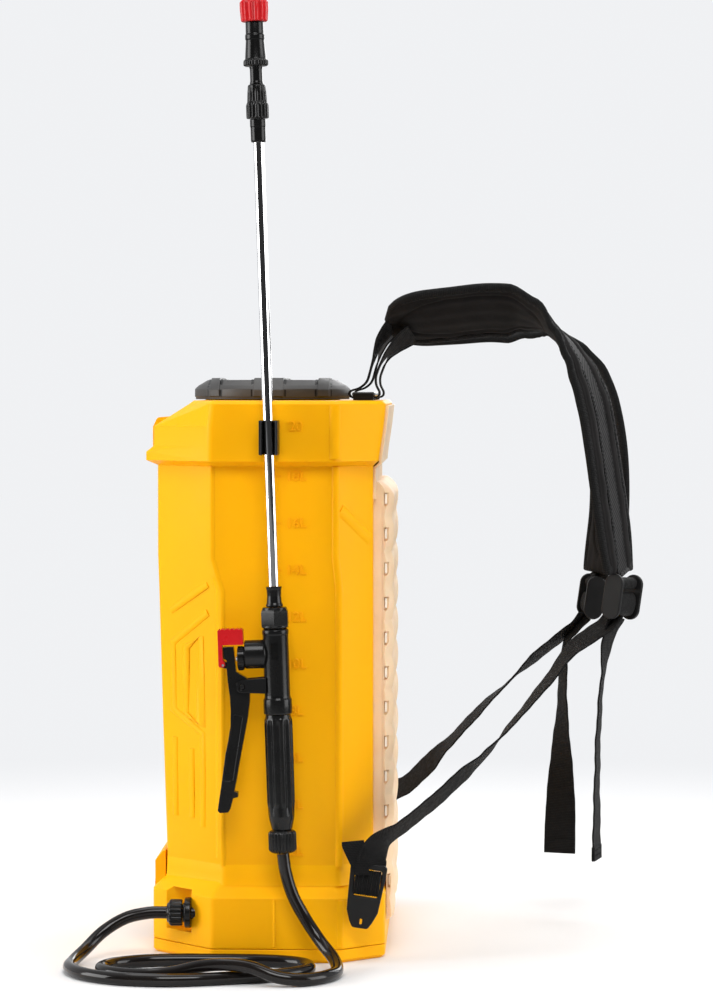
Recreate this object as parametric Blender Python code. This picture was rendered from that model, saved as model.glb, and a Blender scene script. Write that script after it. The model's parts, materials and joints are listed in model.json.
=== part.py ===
"""A knapsack sprayer with a battery-driven pump: tank, base, carrying straps, hose and spray lance.

Metres. +Z is up, -X is the side of the outlet, +X is the wearer's side, and the lance hangs on the -Y side.
The origin is the centre of the base's underside.
"""

import math

import bmesh
import bpy
from mathutils import Matrix, Vector

for old in list(bpy.data.objects):
    bpy.data.objects.remove(old, do_unlink=True)

# General
GAP = 0.0003
WALL = 0.003
STEPS = 24

# Tank body and collar
BODY_FRONT = -0.105
BODY_BACK = 0.088
BODY_HALF = 0.160
TANK_BOTTOM = 0.0705
COLLAR_BOTTOM = 0.4395
TANK_TOP = 0.4925
COLLAR_HALF = 0.172
CORNER = 0.008
MOUTH_X = -0.008
NECK_RADIUS = 0.062
MOUTH_RADIUS = 0.056
NECK_TOP = 0.503

# Base
BASE_FRONT = -0.109
BASE_BACK = 0.099
BASE_HALF = 0.172
TRAY_TOP = 0.012
DECK_TOP = TANK_BOTTOM - 0.0006
SCREW_PLACES = [(-0.060, -0.105), (-0.060, 0.105), (0.060, -0.105), (0.060, 0.105)]
NICHE_LOW = (-0.140, -0.200, 0.0235)
NICHE_HIGH = (-0.0715, -0.126, 0.0605)
PANEL_FACE = -0.1117

# Lid
LID_RADIUS = 0.0725
LID_TOP = 0.513

# Lance and spray gun: one straight axis, which leans back over the outlet side
GUN_FOOT = Vector((0.0111, -0.187, 0.0998))
GUN_LEAN = math.radians(-1.913)
TUBE_RADIUS = 0.0046
GRIP_RADIUS = 0.0118
TRIGGER_PIVOT = Vector((-0.0300, 0.0, 0.1460))
LATCH_PIVOT = Vector((-0.0462, 0.0, 0.1650))
STEM_HEIGHT = 0.1700

# Outlet and hose
OUTLET = Vector((-0.0712, -0.150, 0.0410))
HOSE_RADIUS = 0.0055
HOSE_POINTS = 78
HOSE_ROUTE = [
    (-0.0936, -0.150, 0.0410),
    (-0.1100, -0.150, 0.0405),
    (-0.1300, -0.152, 0.0360),
    (-0.1490, -0.159, 0.0250),
    (-0.1630, -0.174, 0.0120),
    (-0.1710, -0.198, 0.0058),
    (-0.1705, -0.228, 0.0057),
    (-0.1560, -0.257, 0.0057),
    (-0.1280, -0.278, 0.0057),
    (-0.0920, -0.286, 0.0057),
    (-0.0600, -0.283, 0.0057),
    (-0.0280, -0.273, 0.0057),
    (0.0000, -0.264, 0.0057),
    (0.0220, -0.252, 0.0057),
    (0.0350, -0.233, 0.0057),
    (0.0330, -0.210, 0.0057),
    (0.0160, -0.195, 0.0057),
    (-0.0100, -0.1885, 0.0057),
    (-0.0450, -0.1870, 0.0057),
    (-0.0800, -0.1875, 0.0057),
    (-0.1100, -0.1930, 0.0057),
    (-0.1340, -0.2080, 0.0057),
    (-0.1430, -0.2300, 0.0057),
    (-0.1330, -0.2510, 0.0057),
    (-0.1080, -0.2630, 0.0060),
    (-0.0800, -0.2670, 0.0085),
    (-0.0560, -0.2705, 0.0145),
    (-0.0340, -0.2745, 0.0172),
    (-0.0120, -0.2795, 0.0160),
    (0.0120, -0.2850, 0.0085),
    (0.0350, -0.2800, 0.0057),
    (0.0530, -0.2620, 0.0057),
    (0.0600, -0.2370, 0.0060),
    (0.0560, -0.2120, 0.0120),
    (0.0440, -0.1960, 0.0240),
    (0.0310, -0.1890, 0.0420),
    (0.0200, -0.1872, 0.0620),
    (0.0137, -0.1870, 0.0820),
    (0.0112, -0.1870, 0.0990),
]

# Straps: routes are for the -Y side, with y counted away from the middle plane, and twists are in degrees
PAD_WIDTH = 0.075
PAD_THICK = 0.012
WEB_WIDTH = 0.030
WEB_THICK = 0.0016
TIP_SHARE = 0.55
STRAP_PLANE = 0.083
ADJUSTER_HALF = (0.0090, 0.0205, 0.0210)
ADJUSTER_RAIL = 0.0040
ADJUSTER_STEP = 0.0125
ADJUSTER_BAR = 0.0028
PAD_TWIST = [(0.0, -34.0), (0.28, -34.0), (0.335, -20.0), (0.40, 0.0), (0.47, 12.0), (0.53, 19.0), (0.60, 22.0), (1.0, 23.0)]
TOP_TWIST = [(0.0, 20.0), (0.25, 0.0), (0.75, 0.0), (1.0, -26.0)]
TOP_ROUTE = [
    (0.0940, 0.5465),
    (0.0900, 0.5360),
    (0.0855, 0.5230),
    (0.0820, 0.5110),
    (0.0760, 0.5045),
    (0.0665, 0.5005),
    (0.0668, 0.4962),
    (0.0725, 0.49445),
    (0.0790, 0.49445),
    (0.0855, 0.49445),
    (0.0915, 0.4962),
    (0.0925, 0.5005),
    (0.0895, 0.5080),
    (0.0905, 0.5180),
    (0.0970, 0.5310),
    (0.1080, 0.5430),
    (0.1200, 0.5490),
]
NEAR_PAD = [
    (0.0990, 0.5640),
    (0.1250, 0.5660),
    (0.1560, 0.5695),
    (0.1910, 0.5730),
    (0.2230, 0.5697),
    (0.2472, 0.5554),
    (0.2643, 0.5361),
    (0.2764, 0.5132),
    (0.2853, 0.4868),
    (0.2916, 0.4509),
    (0.2966, 0.4168),
    (0.3014, 0.3840),
    (0.3065, 0.3430),
]
FAR_PAD = [
    (0.0990, 0.5640),
    (0.1250, 0.5660),
    (0.1600, 0.5680),
    (0.1990, 0.5700),
    (0.2350, 0.5640),
    (0.2660, 0.5460),
    (0.2880, 0.5170),
    (0.2990, 0.4820),
    (0.3030, 0.4450),
    (0.3000, 0.4050),
    (0.2930, 0.3700),
    (0.2860, 0.3360),
]
NEAR_LOWER = [
    (0.2930, 0.090, 0.2880),
    (0.2810, 0.092, 0.2820),
    (0.2643, 0.096, 0.2697),
    (0.2425, 0.103, 0.2417),
    (0.2100, 0.114, 0.2036),
    (0.1861, 0.122, 0.1770),
    (0.1689, 0.129, 0.1623),
    (0.1408, 0.143, 0.1382),
]
FAR_LOWER = [
    (0.2700, 0.090, 0.2760),
    (0.2591, 0.092, 0.2660),
    (0.2384, 0.098, 0.2484),
    (0.2096, 0.106, 0.2205),
    (0.1832, 0.116, 0.1940),
    (0.1531, 0.130, 0.1600),
    (0.1380, 0.140, 0.1430),
]
LOWER_END = [
    (0.1160, 0.158, 0.1200),
    (0.1010, 0.169, 0.1110),
    (0.0910, 0.1755, 0.1060),
    (0.0862, 0.1768, 0.1025),
    (0.0850, 0.1768, 0.0990),
    (0.0848, 0.1768, 0.0960),
]
NEAR_LOWER_TWIST = [(0.0, -24.0), (0.1, -22.0), (0.25, -11.0), (0.42, -3.0), (0.55, 14.0), (0.62, 25.0)]
NEAR_LOWER_TWIST += [(0.76, 26.0), (0.86, 24.0), (0.95, 82.0), (1.0, 87.0)]
FAR_LOWER_TWIST = [(0.0, -20.0), (0.2, -20.0), (0.35, -2.0), (0.48, 9.0), (0.62, 10.0), (0.72, 26.0)]
FAR_LOWER_TWIST += [(0.80, 26.0), (0.86, 24.0), (0.95, 82.0), (1.0, 87.0)]
NEAR_TAIL = [
    (0.2970, 0.083, 0.2800),
    (0.2935, 0.083, 0.2500),
    (0.2895, 0.083, 0.2000),
    (0.2880, 0.083, 0.1400),
    (0.2880, 0.083, 0.0800),
]
FAR_TAIL = [
    (0.2640, 0.083, 0.2620),
    (0.2630, 0.083, 0.2450),
    (0.2620, 0.083, 0.1900),
    (0.2610, 0.083, 0.1200),
    (0.2600, 0.083, 0.0620),
]
NEAR_TAIL_TWIST = [(0.0, 22.0), (0.25, 9.0), (1.0, 15.0)]
FAR_TAIL_TWIST = [(0.0, 6.0), (0.2, 12.0), (1.0, 78.0)]

BLACK = (0.012, 0.012, 0.013)
CHARCOAL = (0.062, 0.062, 0.065)
YELLOW = (0.90, 0.46, 0.012)
CREAM = (0.92, 0.72, 0.47)
RED = (0.70, 0.022, 0.025)
CHROME = (0.78, 0.78, 0.80)
FABRIC = (0.016, 0.015, 0.015)


def material(name, colour, roughness, metallic=0.0):
    """The Principled material of this name, made when it is first asked for."""
    made = bpy.data.materials.get(name)
    if made:
        return made
    made = bpy.data.materials.new(name)
    made.use_nodes = True
    shader = made.node_tree.nodes["Principled BSDF"]
    shader.inputs["Base Color"].default_value = (*colour, 1.0)
    shader.inputs["Roughness"].default_value = roughness
    shader.inputs["Metallic"].default_value = metallic
    return made


def yellow_plastic():
    return material("tank_yellow", YELLOW, 0.38)


def black_plastic():
    return material("black_plastic", BLACK, 0.30)


def charcoal_plastic():
    return material("lid_charcoal", CHARCOAL, 0.50)


def red_plastic():
    return material("signal_red", RED, 0.30)


def steel():
    return material("chromed_steel", CHROME, 0.12, 1.0)


def webbing():
    return material("webbing_black", FABRIC, 0.85)


def rubber():
    return material("seal_rubber", BLACK, 0.65)


def circuit_blue():
    return material("battery_blue", (0.03, 0.09, 0.30), 0.45)


# Makers of shapes


def finish(name, mesh, surface, parent=None, origin=None):
    """A smooth-shaded object made from a bmesh, with its origin at `origin`."""
    bmesh.ops.recalc_face_normals(mesh, faces=mesh.faces)
    data = bpy.data.meshes.new(name)
    mesh.to_mesh(data)
    mesh.free()
    data.shade_smooth()
    data.set_sharp_from_angle(angle=math.radians(35))
    data.materials.append(surface)
    made = bpy.data.objects.new(name, data)
    if origin is not None:
        data.transform(Matrix.Translation(-Vector(origin)))
        made.location = origin
    made.parent = parent
    bpy.context.scene.collection.objects.link(made)
    return made


def lofted(mesh, rings):
    """A closed skin over rings of equally many points, with its first and last ring capped."""
    rows = [[mesh.verts.new(point) for point in ring] for ring in rings]
    for lower, upper in zip(rows, rows[1:]):
        for i in range(len(lower)):
            j = (i + 1) % len(lower)
            mesh.faces.new((lower[i], lower[j], upper[j], upper[i]))
    mesh.faces.new(rows[0][::-1])
    mesh.faces.new(rows[-1])


def loft(name, rings, surface, parent=None, origin=None):
    mesh = bmesh.new()
    lofted(mesh, rings)
    return finish(name, mesh, surface, parent, origin)


def block(name, low, high, surface, parent=None, origin=None, bevel=0.0):
    """A box between two corners, with its edges bevelled if asked."""
    mesh = bmesh.new()
    corners = [(low[0], low[1]), (high[0], low[1]), (high[0], high[1]), (low[0], high[1])]
    lofted(mesh, [[(x, y, z) for x, y in corners] for z in (low[2], high[2])])
    if bevel:
        bmesh.ops.recalc_face_normals(mesh, faces=mesh.faces)
        bmesh.ops.bevel(mesh, geom=mesh.edges[:], offset=bevel, segments=1, affect="EDGES")
    return finish(name, mesh, surface, parent, origin)


def plate_xz(name, outline, y_low, y_high, surface, parent=None, origin=None):
    """An outline in X and Z, extruded along Y."""
    return loft(
        name,
        [[(x, y, z) for x, z in outline] for y in (y_low, y_high)],
        surface,
        parent,
        origin,
    )


def turned(name, profile, surface, parent=None, place=None, origin=None, steps=STEPS, flutes=0):
    """A profile of (radius, height, flute depth) turned about Z, then moved by `place`.

    A profile that begins and ends at radius 0 is solid. Any other is taken as a closed loop, a hollow part.
    With flutes, the ring's points step in and out by the flute depth.
    """
    mesh = bmesh.new()
    count = 2 * flutes if flutes else steps
    rows = []
    for radius, height, *depth in profile:
        if radius == 0:
            rows.append([mesh.verts.new((0, 0, height))])
            continue
        cut = depth[0] if depth else 0.0
        row = []
        for i in range(count):
            angle = 2 * math.pi * i / count
            reach = radius - cut * (i % 2)
            row.append(mesh.verts.new((reach * math.cos(angle), reach * math.sin(angle), height)))
        rows.append(row)
    pairs = list(zip(rows, rows[1:]))
    if profile[0][0] != 0:
        pairs.append((rows[-1], rows[0]))
    for lower, upper in pairs:
        for i in range(count):
            j = (i + 1) % count
            if len(lower) == 1:
                mesh.faces.new((lower[0], upper[j], upper[i]))
            elif len(upper) == 1:
                mesh.faces.new((lower[i], lower[j], upper[0]))
            else:
                mesh.faces.new((lower[i], lower[j], upper[j], upper[i]))
    if place is not None:
        mesh.transform(place)
    return finish(name, mesh, surface, parent, origin)


def rod(name, low, high, radius, surface, parent=None, place=None, origin=None, steps=16):
    """A plain round bar along Z from `low` to `high`."""
    profile = [(0, low), (radius, low), (radius, high), (0, high)]
    return turned(name, profile, surface, parent, place, origin, steps)


def helper(piece):
    """Marks a piece that only cuts or joins another."""
    piece.hide_render = True
    piece.display_type = "WIRE"
    return piece


def boolean(piece, other, operation):
    helper(other)
    modifier = piece.modifiers.new(operation.lower(), "BOOLEAN")
    modifier.operation = operation
    modifier.object = other
    return piece


def cut(piece, other):
    return boolean(piece, other, "DIFFERENCE")


def join(piece, other):
    return boolean(piece, other, "UNION")


def rounded(corners, radius, steps=2):
    """The outline with each corner replaced by an arc of `steps` segments."""
    points = []
    count = len(corners)
    for i, corner in enumerate(corners):
        here = Vector(corner)
        before = (Vector(corners[i - 1]) - here).normalized()
        after = (Vector(corners[(i + 1) % count]) - here).normalized()
        half = before.angle(after) / 2
        reach = radius / math.tan(half)
        centre = here + (before + after).normalized() * (radius / math.sin(half))
        start = here + before * reach - centre
        end = here + after * reach - centre
        sweep = start.angle(end)
        for k in range(steps + 1):
            part = k / steps
            mix = start * math.sin((1 - part) * sweep) + end * math.sin(part * sweep)
            points.append(tuple(centre + mix / math.sin(sweep)))
    return points


def section(front, back, half, front_flat, back_flat, side_front, side_back, radius=CORNER):
    """An eight-sided plan with rounded corners: flats at the front, the back and both sides."""
    corners = [
        (front, -front_flat),
        (side_front, -half),
        (side_back, -half),
        (back, -back_flat),
        (back, back_flat),
        (side_back, half),
        (side_front, half),
        (front, front_flat),
    ]
    return rounded(corners, radius)


def at_height(outline, z):
    return [(x, y, z) for x, y in outline]


def smooth_points(route, count):
    """`count` evenly spaced points of a Catmull-Rom curve through the route."""
    knots = [Vector(p) for p in route]
    knots = [2 * knots[0] - knots[1]] + knots + [2 * knots[-1] - knots[-2]]
    fine = []
    for a, b, c, d in zip(knots, knots[1:], knots[2:], knots[3:]):
        for k in range(12):
            t = k / 12
            fine.append(
                0.5
                * (
                    2 * b
                    + (c - a) * t
                    + (2 * a - 5 * b + 4 * c - d) * t * t
                    + (3 * b - a - 3 * c + d) * t * t * t
                )
            )
    fine.append(knots[-2])
    along = [0.0]
    for p, q in zip(fine, fine[1:]):
        along.append(along[-1] + (q - p).length)
    result = []
    j = 0
    for k in range(count):
        target = along[-1] * k / (count - 1)
        while j < len(fine) - 2 and along[j + 1] < target:
            j += 1
        share = (target - along[j]) / (along[j + 1] - along[j])
        result.append(fine[j].lerp(fine[j + 1], min(share, 1.0)))
    return result


def pipe(name, points, radius, surface, resolution=2):
    """A round bar along the points, as a curve with a bevel and filled caps."""
    curve = bpy.data.curves.new(name, "CURVE")
    curve.dimensions = "3D"
    curve.bevel_depth = radius
    curve.bevel_resolution = resolution
    curve.use_fill_caps = True
    spline = curve.splines.new("POLY")
    spline.points.add(len(points) - 1)
    for place, point in zip(spline.points, points):
        place.co = (*point, 1.0)
    curve.materials.append(surface)
    made = bpy.data.objects.new(name, curve)
    bpy.context.scene.collection.objects.link(made)
    return made


def at_share(stops, share):
    """The value at this share of the length, on straight lines between the (share, value) stops."""
    for (a, low), (b, high) in zip(stops, stops[1:]):
        if share <= b:
            return low + (high - low) * (share - a) / (b - a)
    return stops[-1][1]


def ribbon(name, route, surface, count, width, thick, twist=((0.0, 0.0), (1.0, 0.0)), ends=0.0):
    """A flat strap along the route.

    `width` lies along Y, turned about the strap's own run by the twist: stops of length share and degrees.
    `ends` is the share of the length over which both ends narrow to a rounded tip.
    """
    points = smooth_points(route, count)
    rings = []
    for i, point in enumerate(points):
        before = points[max(i - 1, 0)]
        after = points[min(i + 1, count - 1)]
        run = (after - before).normalized()
        across = (Vector((0, 1, 0)) - run * run.y).normalized()
        angle = math.radians(at_share(twist, i / (count - 1)))
        across = Matrix.Rotation(angle, 3, run) @ across
        up = run.cross(across)
        near_end = min(i, count - 1 - i) / (count - 1)
        round_off = 1.0
        if ends and near_end < ends:
            round_off = TIP_SHARE + (1 - TIP_SHARE) * math.sin(math.pi / 2 * near_end / ends)
        w = across * width / 2 * round_off
        t = up * thick / 2
        rings.append([point + w - t, point + w + t, point - w + t, point - w - t])
    return loft(name, rings, surface)


# Tank


def tank_shell():
    """The hollow tank: body, collar, filling neck and an open mouth."""
    body = [
        (TANK_BOTTOM, -0.094, 0.084, 0.154, 0.100, 0.122, -0.040, 0.056),
        (TANK_BOTTOM + 0.012, -0.097, BODY_BACK, BODY_HALF, 0.104, 0.126, -0.0430, 0.059),
        (0.325, -0.104, BODY_BACK, BODY_HALF, 0.105, 0.126, -0.0430, 0.059),
        (0.355, BODY_FRONT, BODY_BACK, BODY_HALF, 0.105, 0.126, -0.0520, 0.056),
        (0.435, BODY_FRONT, BODY_BACK, BODY_HALF, 0.105, 0.126, -0.0520, 0.056),
        (COLLAR_BOTTOM, -0.115, 0.094, COLLAR_HALF, 0.110, 0.140, -0.0540, 0.056),
        (0.447, -0.115, 0.095, COLLAR_HALF, 0.110, 0.140, -0.0540, 0.056),
        (0.452, -0.1085, 0.096, COLLAR_HALF, 0.110, 0.140, -0.0540, 0.056),
        (0.470, -0.1075, 0.099, COLLAR_HALF, 0.110, 0.142, -0.0540, 0.056),
        (TANK_TOP - 0.003, -0.077, 0.101, COLLAR_HALF, 0.100, 0.142, -0.0530, 0.056),
        (TANK_TOP, -0.073, 0.098, COLLAR_HALF - 0.003, 0.098, 0.140, -0.0510, 0.054),
    ]
    shell = loft(
        "tank_shell",
        [at_height(section(*plan), z) for z, *plan in body],
        yellow_plastic(),
    )
    neck = helper(rod("tank_neck", TANK_TOP - 0.002, NECK_TOP, NECK_RADIUS, yellow_plastic(), steps=32))
    neck.location.x = MOUTH_X
    join(shell, neck)
    room = [
        (TANK_BOTTOM + WALL, -0.088, 0.078, 0.148, 0.098, 0.118, -0.040, 0.053),
        (TANK_BOTTOM + 0.016, -0.094, 0.085, 0.157, 0.102, 0.124, -0.0410, 0.057),
        (0.325, -0.101, 0.085, 0.157, 0.103, 0.124, -0.0410, 0.057),
        (0.355, -0.102, 0.085, 0.157, 0.103, 0.124, -0.0500, 0.054),
        (0.437, -0.102, 0.085, 0.157, 0.103, 0.124, -0.0500, 0.054),
        (0.445, -0.105, 0.091, 0.169, 0.108, 0.137, -0.0520, 0.054),
        (0.469, -0.1035, 0.095, 0.169, 0.108, 0.139, -0.0520, 0.054),
        (TANK_TOP - WALL, -0.074, 0.097, 0.168, 0.098, 0.138, -0.0510, 0.054),
    ]
    cut(shell, loft("tank_room", [at_height(section(*plan), z) for z, *plan in room], rubber()))
    mouth = [
        (0, TANK_TOP - 0.010),
        (MOUTH_RADIUS, TANK_TOP - 0.010),
        (MOUTH_RADIUS, NECK_TOP - 0.0028),
        (0.0596, NECK_TOP - 0.0028),
        (0.0596, NECK_TOP + 0.005),
        (0, NECK_TOP + 0.005),
    ]
    opening = turned("tank_mouth", mouth, rubber(), steps=32)
    opening.location.x = MOUTH_X
    cut(shell, opening)
    return shell


def strainer():
    """The basket that hangs in the mouth by its flange, with windows in its wall."""
    top = NECK_TOP - 0.0003
    flange = top - 0.0020
    floor = 0.412
    profile = [
        (0.0590, top),
        (0.0500, top),
        (0.0480, floor + 0.002),
        (0.0030, floor + 0.002),
        (0.0030, floor),
        (0.0500, floor),
        (0.0530, flange),
        (0.0590, flange),
    ]
    basket = turned("strainer", profile, black_plastic(), origin=(0, 0, top), steps=32)
    basket.location.x = MOUTH_X
    for i in range(4):
        slot = block(
            f"strainer_slot_{i}", (-0.08, -0.012, -0.030), (0.08, 0.012, 0.030), rubber()
        )
        slot.rotation_euler.z = math.pi * i / 4
        slot.location = (MOUTH_X, 0, 0.452)
        cut(basket, slot)
    return basket


def lid_gasket():
    profile = [
        (0.0615, NECK_TOP + GAP),
        (0.0615, NECK_TOP + 0.0020),
        (0.0570, NECK_TOP + 0.0020),
        (0.0570, NECK_TOP + GAP),
    ]
    ring = turned("lid_gasket", profile, rubber(), steps=32)
    ring.location.x = MOUTH_X
    return ring


def lid():
    """The screw lid: a skirt around the neck, a plate and three grip ribs on top."""
    ceiling = NECK_TOP + 0.0024
    plate = LID_TOP - 0.0045
    skirt = TANK_TOP + 0.0009
    profile = [
        (0, plate),
        (LID_RADIUS - 0.006, plate),
        (LID_RADIUS, plate - 0.005, 0.0012),
        (LID_RADIUS, skirt, 0.0012),
        (0.0648, skirt),
        (0.0648, ceiling),
        (0, ceiling),
    ]
    cap = turned("lid", profile, charcoal_plastic(), flutes=30)
    cap.location.x = MOUTH_X
    for i, x in enumerate((-0.052, 0.0, 0.052)):
        reach = 0.8 * math.sqrt(LID_RADIUS**2 - x * x)
        rib = block(
            f"lid_rib_{i}",
            (MOUTH_X + x - 0.009, -reach, plate - 0.002),
            (MOUTH_X + x + 0.009, reach, LID_TOP),
            charcoal_plastic(),
            bevel=0.0015,
        )
        join(cap, rib)
    return cap


def strap_anchor():
    """The flat bar on the tank's rear edge that both strap loops pass under."""
    bar = block(
        "strap_anchor", (0.069, -0.118, 0.4962), (0.089, 0.118, 0.5000), black_plastic(), bevel=0.001
    )
    for i, y in enumerate((-0.114, -0.052, 0.052, 0.114)):
        post = block(
            f"strap_post_{i}",
            (0.070, y - 0.004, TANK_TOP + GAP),
            (0.088, y + 0.004, 0.498),
            black_plastic(),
        )
        join(bar, post)
    return bar


def lance_clip():
    """The clip on the collar, with two parallel jaws that the lance leaves straight out."""
    middle = GUN_FOOT.x + math.tan(GUN_LEAN) * (0.460 - GUN_FOOT.z)
    back = -COLLAR_HALF - GAP
    outline = [
        (-0.0100, back),
        (-0.0100, back - 0.0040),
        (-0.0088, back - 0.0060),
        (-0.0080, back - 0.0230),
        (-0.0056, back - 0.0230),
        (-0.0056, back - 0.0070),
        (0.0056, back - 0.0070),
        (0.0056, back - 0.0230),
        (0.0080, back - 0.0230),
        (0.0088, back - 0.0060),
        (0.0100, back - 0.0040),
        (0.0100, back),
    ]
    rings = [[(middle + x, y, z) for x, y in outline] for z in (0.4455, 0.4755)]
    return loft("lance_clip", rings, black_plastic())


# Base


def base_plan(inset):
    return section(
        BASE_FRONT + inset,
        BASE_BACK - inset,
        BASE_HALF - inset,
        0.112 - inset / 2,
        0.138 - inset / 2,
        -0.0525 + inset / 2,
        0.0600 - inset / 2,
    )


def base_housing():
    """The hollow base: open below, with a niche for the outlet at the near front corner."""
    levels = [
        (TRAY_TOP + GAP, 0.0),
        (0.057, 0.0),
        (0.067, 0.0115),
        (DECK_TOP, 0.0140),
    ]
    housing = loft(
        "base_housing", [at_height(base_plan(inset), z) for z, inset in levels], yellow_plastic()
    )
    lip = plate_xz(
        "base_front_lip",
        [(-0.1085, 0.050), (-0.0990, 0.050), (-0.0990, 0.0885), (-0.1015, 0.0885), (-0.1085, 0.0800)],
        -0.098,
        0.098,
        yellow_plastic(),
    )
    join(housing, lip)
    cut(housing, block("niche", NICHE_LOW, NICHE_HIGH, rubber()))
    room = loft(
        "base_room",
        [
            at_height(base_plan(WALL), 0.0),
            at_height(base_plan(WALL), 0.056),
            at_height(base_plan(0.0145), DECK_TOP - WALL),
        ],
        rubber(),
    )
    guard_low = [value - WALL for value in NICHE_LOW]
    guard_high = [value + WALL for value in NICHE_HIGH]
    cut(room, block("niche_guard", guard_low, guard_high, rubber()))
    cut(housing, room)
    cut(housing, block("panel_window", (-0.13, -0.040, 0.029), (-0.100, 0.040, 0.055), rubber()))
    spigot_hole = rod("spigot_hole", 0.05, 0.09, 0.0080, rubber())
    spigot_hole.location = (-0.020, -0.090, 0)
    cut(housing, spigot_hole)
    outlet_hole = rod("outlet_hole", 0.0, 0.02, 0.0062, rubber(), place=Matrix.Rotation(math.pi / 2, 4, "Y"))
    outlet_hole.location = (OUTLET.x - 0.010, OUTLET.y, OUTLET.z)
    cut(housing, outlet_hole)
    for i, (x, y) in enumerate(SCREW_PLACES):
        boss = rod(f"boss_{i}", TRAY_TOP + 0.0005, DECK_TOP - 0.001, 0.0060, yellow_plastic(), steps=12)
        boss.location = (x, y, 0)
        join(housing, boss)
        hole = rod(f"boss_hole_{i}", 0.0, 0.024, 0.0028, rubber(), steps=12)
        hole.location = (x, y, 0)
        cut(housing, hole)
    return housing


def base_tray():
    """The bottom tray, flat underneath, with sunk holes for its screws."""
    levels = [(0.0, 0.0030), (0.0030, 0.0), (TRAY_TOP, 0.0)]
    tray = loft("base_tray", [at_height(base_plan(inset), z) for z, inset in levels], yellow_plastic())
    cut(
        tray,
        loft("tray_room", [at_height(base_plan(WALL), z) for z in (0.006, 0.02)], rubber()),
    )
    for i, (x, y) in enumerate(SCREW_PLACES):
        profile = [(0, -0.01), (0.0056, -0.01), (0.0056, 0.0034), (0.0028, 0.0034), (0.0028, 0.02), (0, 0.02)]
        sink = turned(f"tray_sink_{i}", profile, rubber(), steps=12)
        sink.location = (x, y, 0)
        cut(tray, sink)
    return tray


def tray_screws():
    for i, (x, y) in enumerate(SCREW_PLACES):
        profile = [(0, 0.0008), (0.0050, 0.0008), (0.0050, 0.0030), (0.0025, 0.0031), (0.0025, 0.022), (0, 0.023)]
        screw = turned(f"tray_screw_{i + 1}", profile, steel(), steps=12)
        screw.location = (x, y, 0)


def back_rest():
    """The ribbed rest between the tank and the wearer: a scalloped profile with a hollowed middle."""
    low, high = 0.030, 0.420
    face, depth = 0.1045, 0.0022
    ribs = 20
    per_rib = 4
    outline = [(BASE_BACK + 0.0005, low), (0.1020, low)]
    reach = high - 0.020 - (low + 0.004)
    for i in range(ribs * per_rib + 1):
        wave = abs(math.sin(math.pi * i / per_rib))
        outline.append((face + depth * wave, low + 0.004 + reach * i / (ribs * per_rib)))
    outline += [(0.1010, high - 0.008), (0.0950, high), (BODY_BACK + 0.0005, high)]
    outline += [(BODY_BACK + 0.0005, DECK_TOP + 0.002), (BASE_BACK + 0.0005, 0.058)]
    return plate_xz("back_rest", outline, -0.115, 0.115, material("rest_cream", CREAM, 0.6))


def outlet():
    """The outlet fitting, which leads through the niche wall, and the nut that holds the hose on it."""
    turn = Matrix.Translation(OUTLET) @ Matrix.Rotation(-math.pi / 2, 4, "Y")
    profile = [
        (0, -0.012),
        (0.0058, -0.012),
        (0.0058, 0.0003 + GAP),
        (0.0135, 0.0003 + GAP),
        (0.0135, 0.0060),
        (0.0085, 0.0062),
        (0.0085, 0.0080),
        (0, 0.0080),
    ]
    turned("outlet_fitting", profile, black_plastic(), place=turn)
    profile = [
        (0, 0.0084),
        (0.0118, 0.0084, 0.001),
        (0.0118, 0.0190, 0.001),
        (0.0090, 0.0205),
        (0.0080, 0.0220),
        (0, 0.0220),
    ]
    turned("outlet_nut", profile, black_plastic(), place=turn, flutes=12)


def power_unit():
    """Battery, motor, pump head and the two tubes of the liquid's way, all inside the base."""
    block("battery_pack", (-0.045, -0.010, 0.0065), (0.035, 0.130, 0.0560), circuit_blue(), bevel=0.002)
    block("pump_head", (-0.045, -0.118, 0.0110), (0.005, -0.074, 0.0500), black_plastic(), bevel=0.002)
    lying = Matrix.Translation((-0.020, -0.0735, 0.030)) @ Matrix.Rotation(-math.pi / 2, 4, "X")
    rod("pump_motor", 0.0, 0.058, 0.0180, steel(), place=lying, steps=20)
    pipe(
        "suction_tube",
        [Vector((-0.020, -0.090, 0.0702)), Vector((-0.020, -0.090, 0.0503))],
        0.0060,
        rubber(),
    )
    route = [(-0.0250, -0.1186, 0.0400), (-0.0250, -0.1270, 0.0400), (-0.0270, -0.1390, 0.0405)]
    route += [(-0.0350, -0.1480, 0.0410), (-0.0460, -0.1500, 0.0410), (-0.0587, -0.1500, 0.0410)]
    pipe("delivery_tube", smooth_points(route, 14), 0.0040, rubber())


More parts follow.
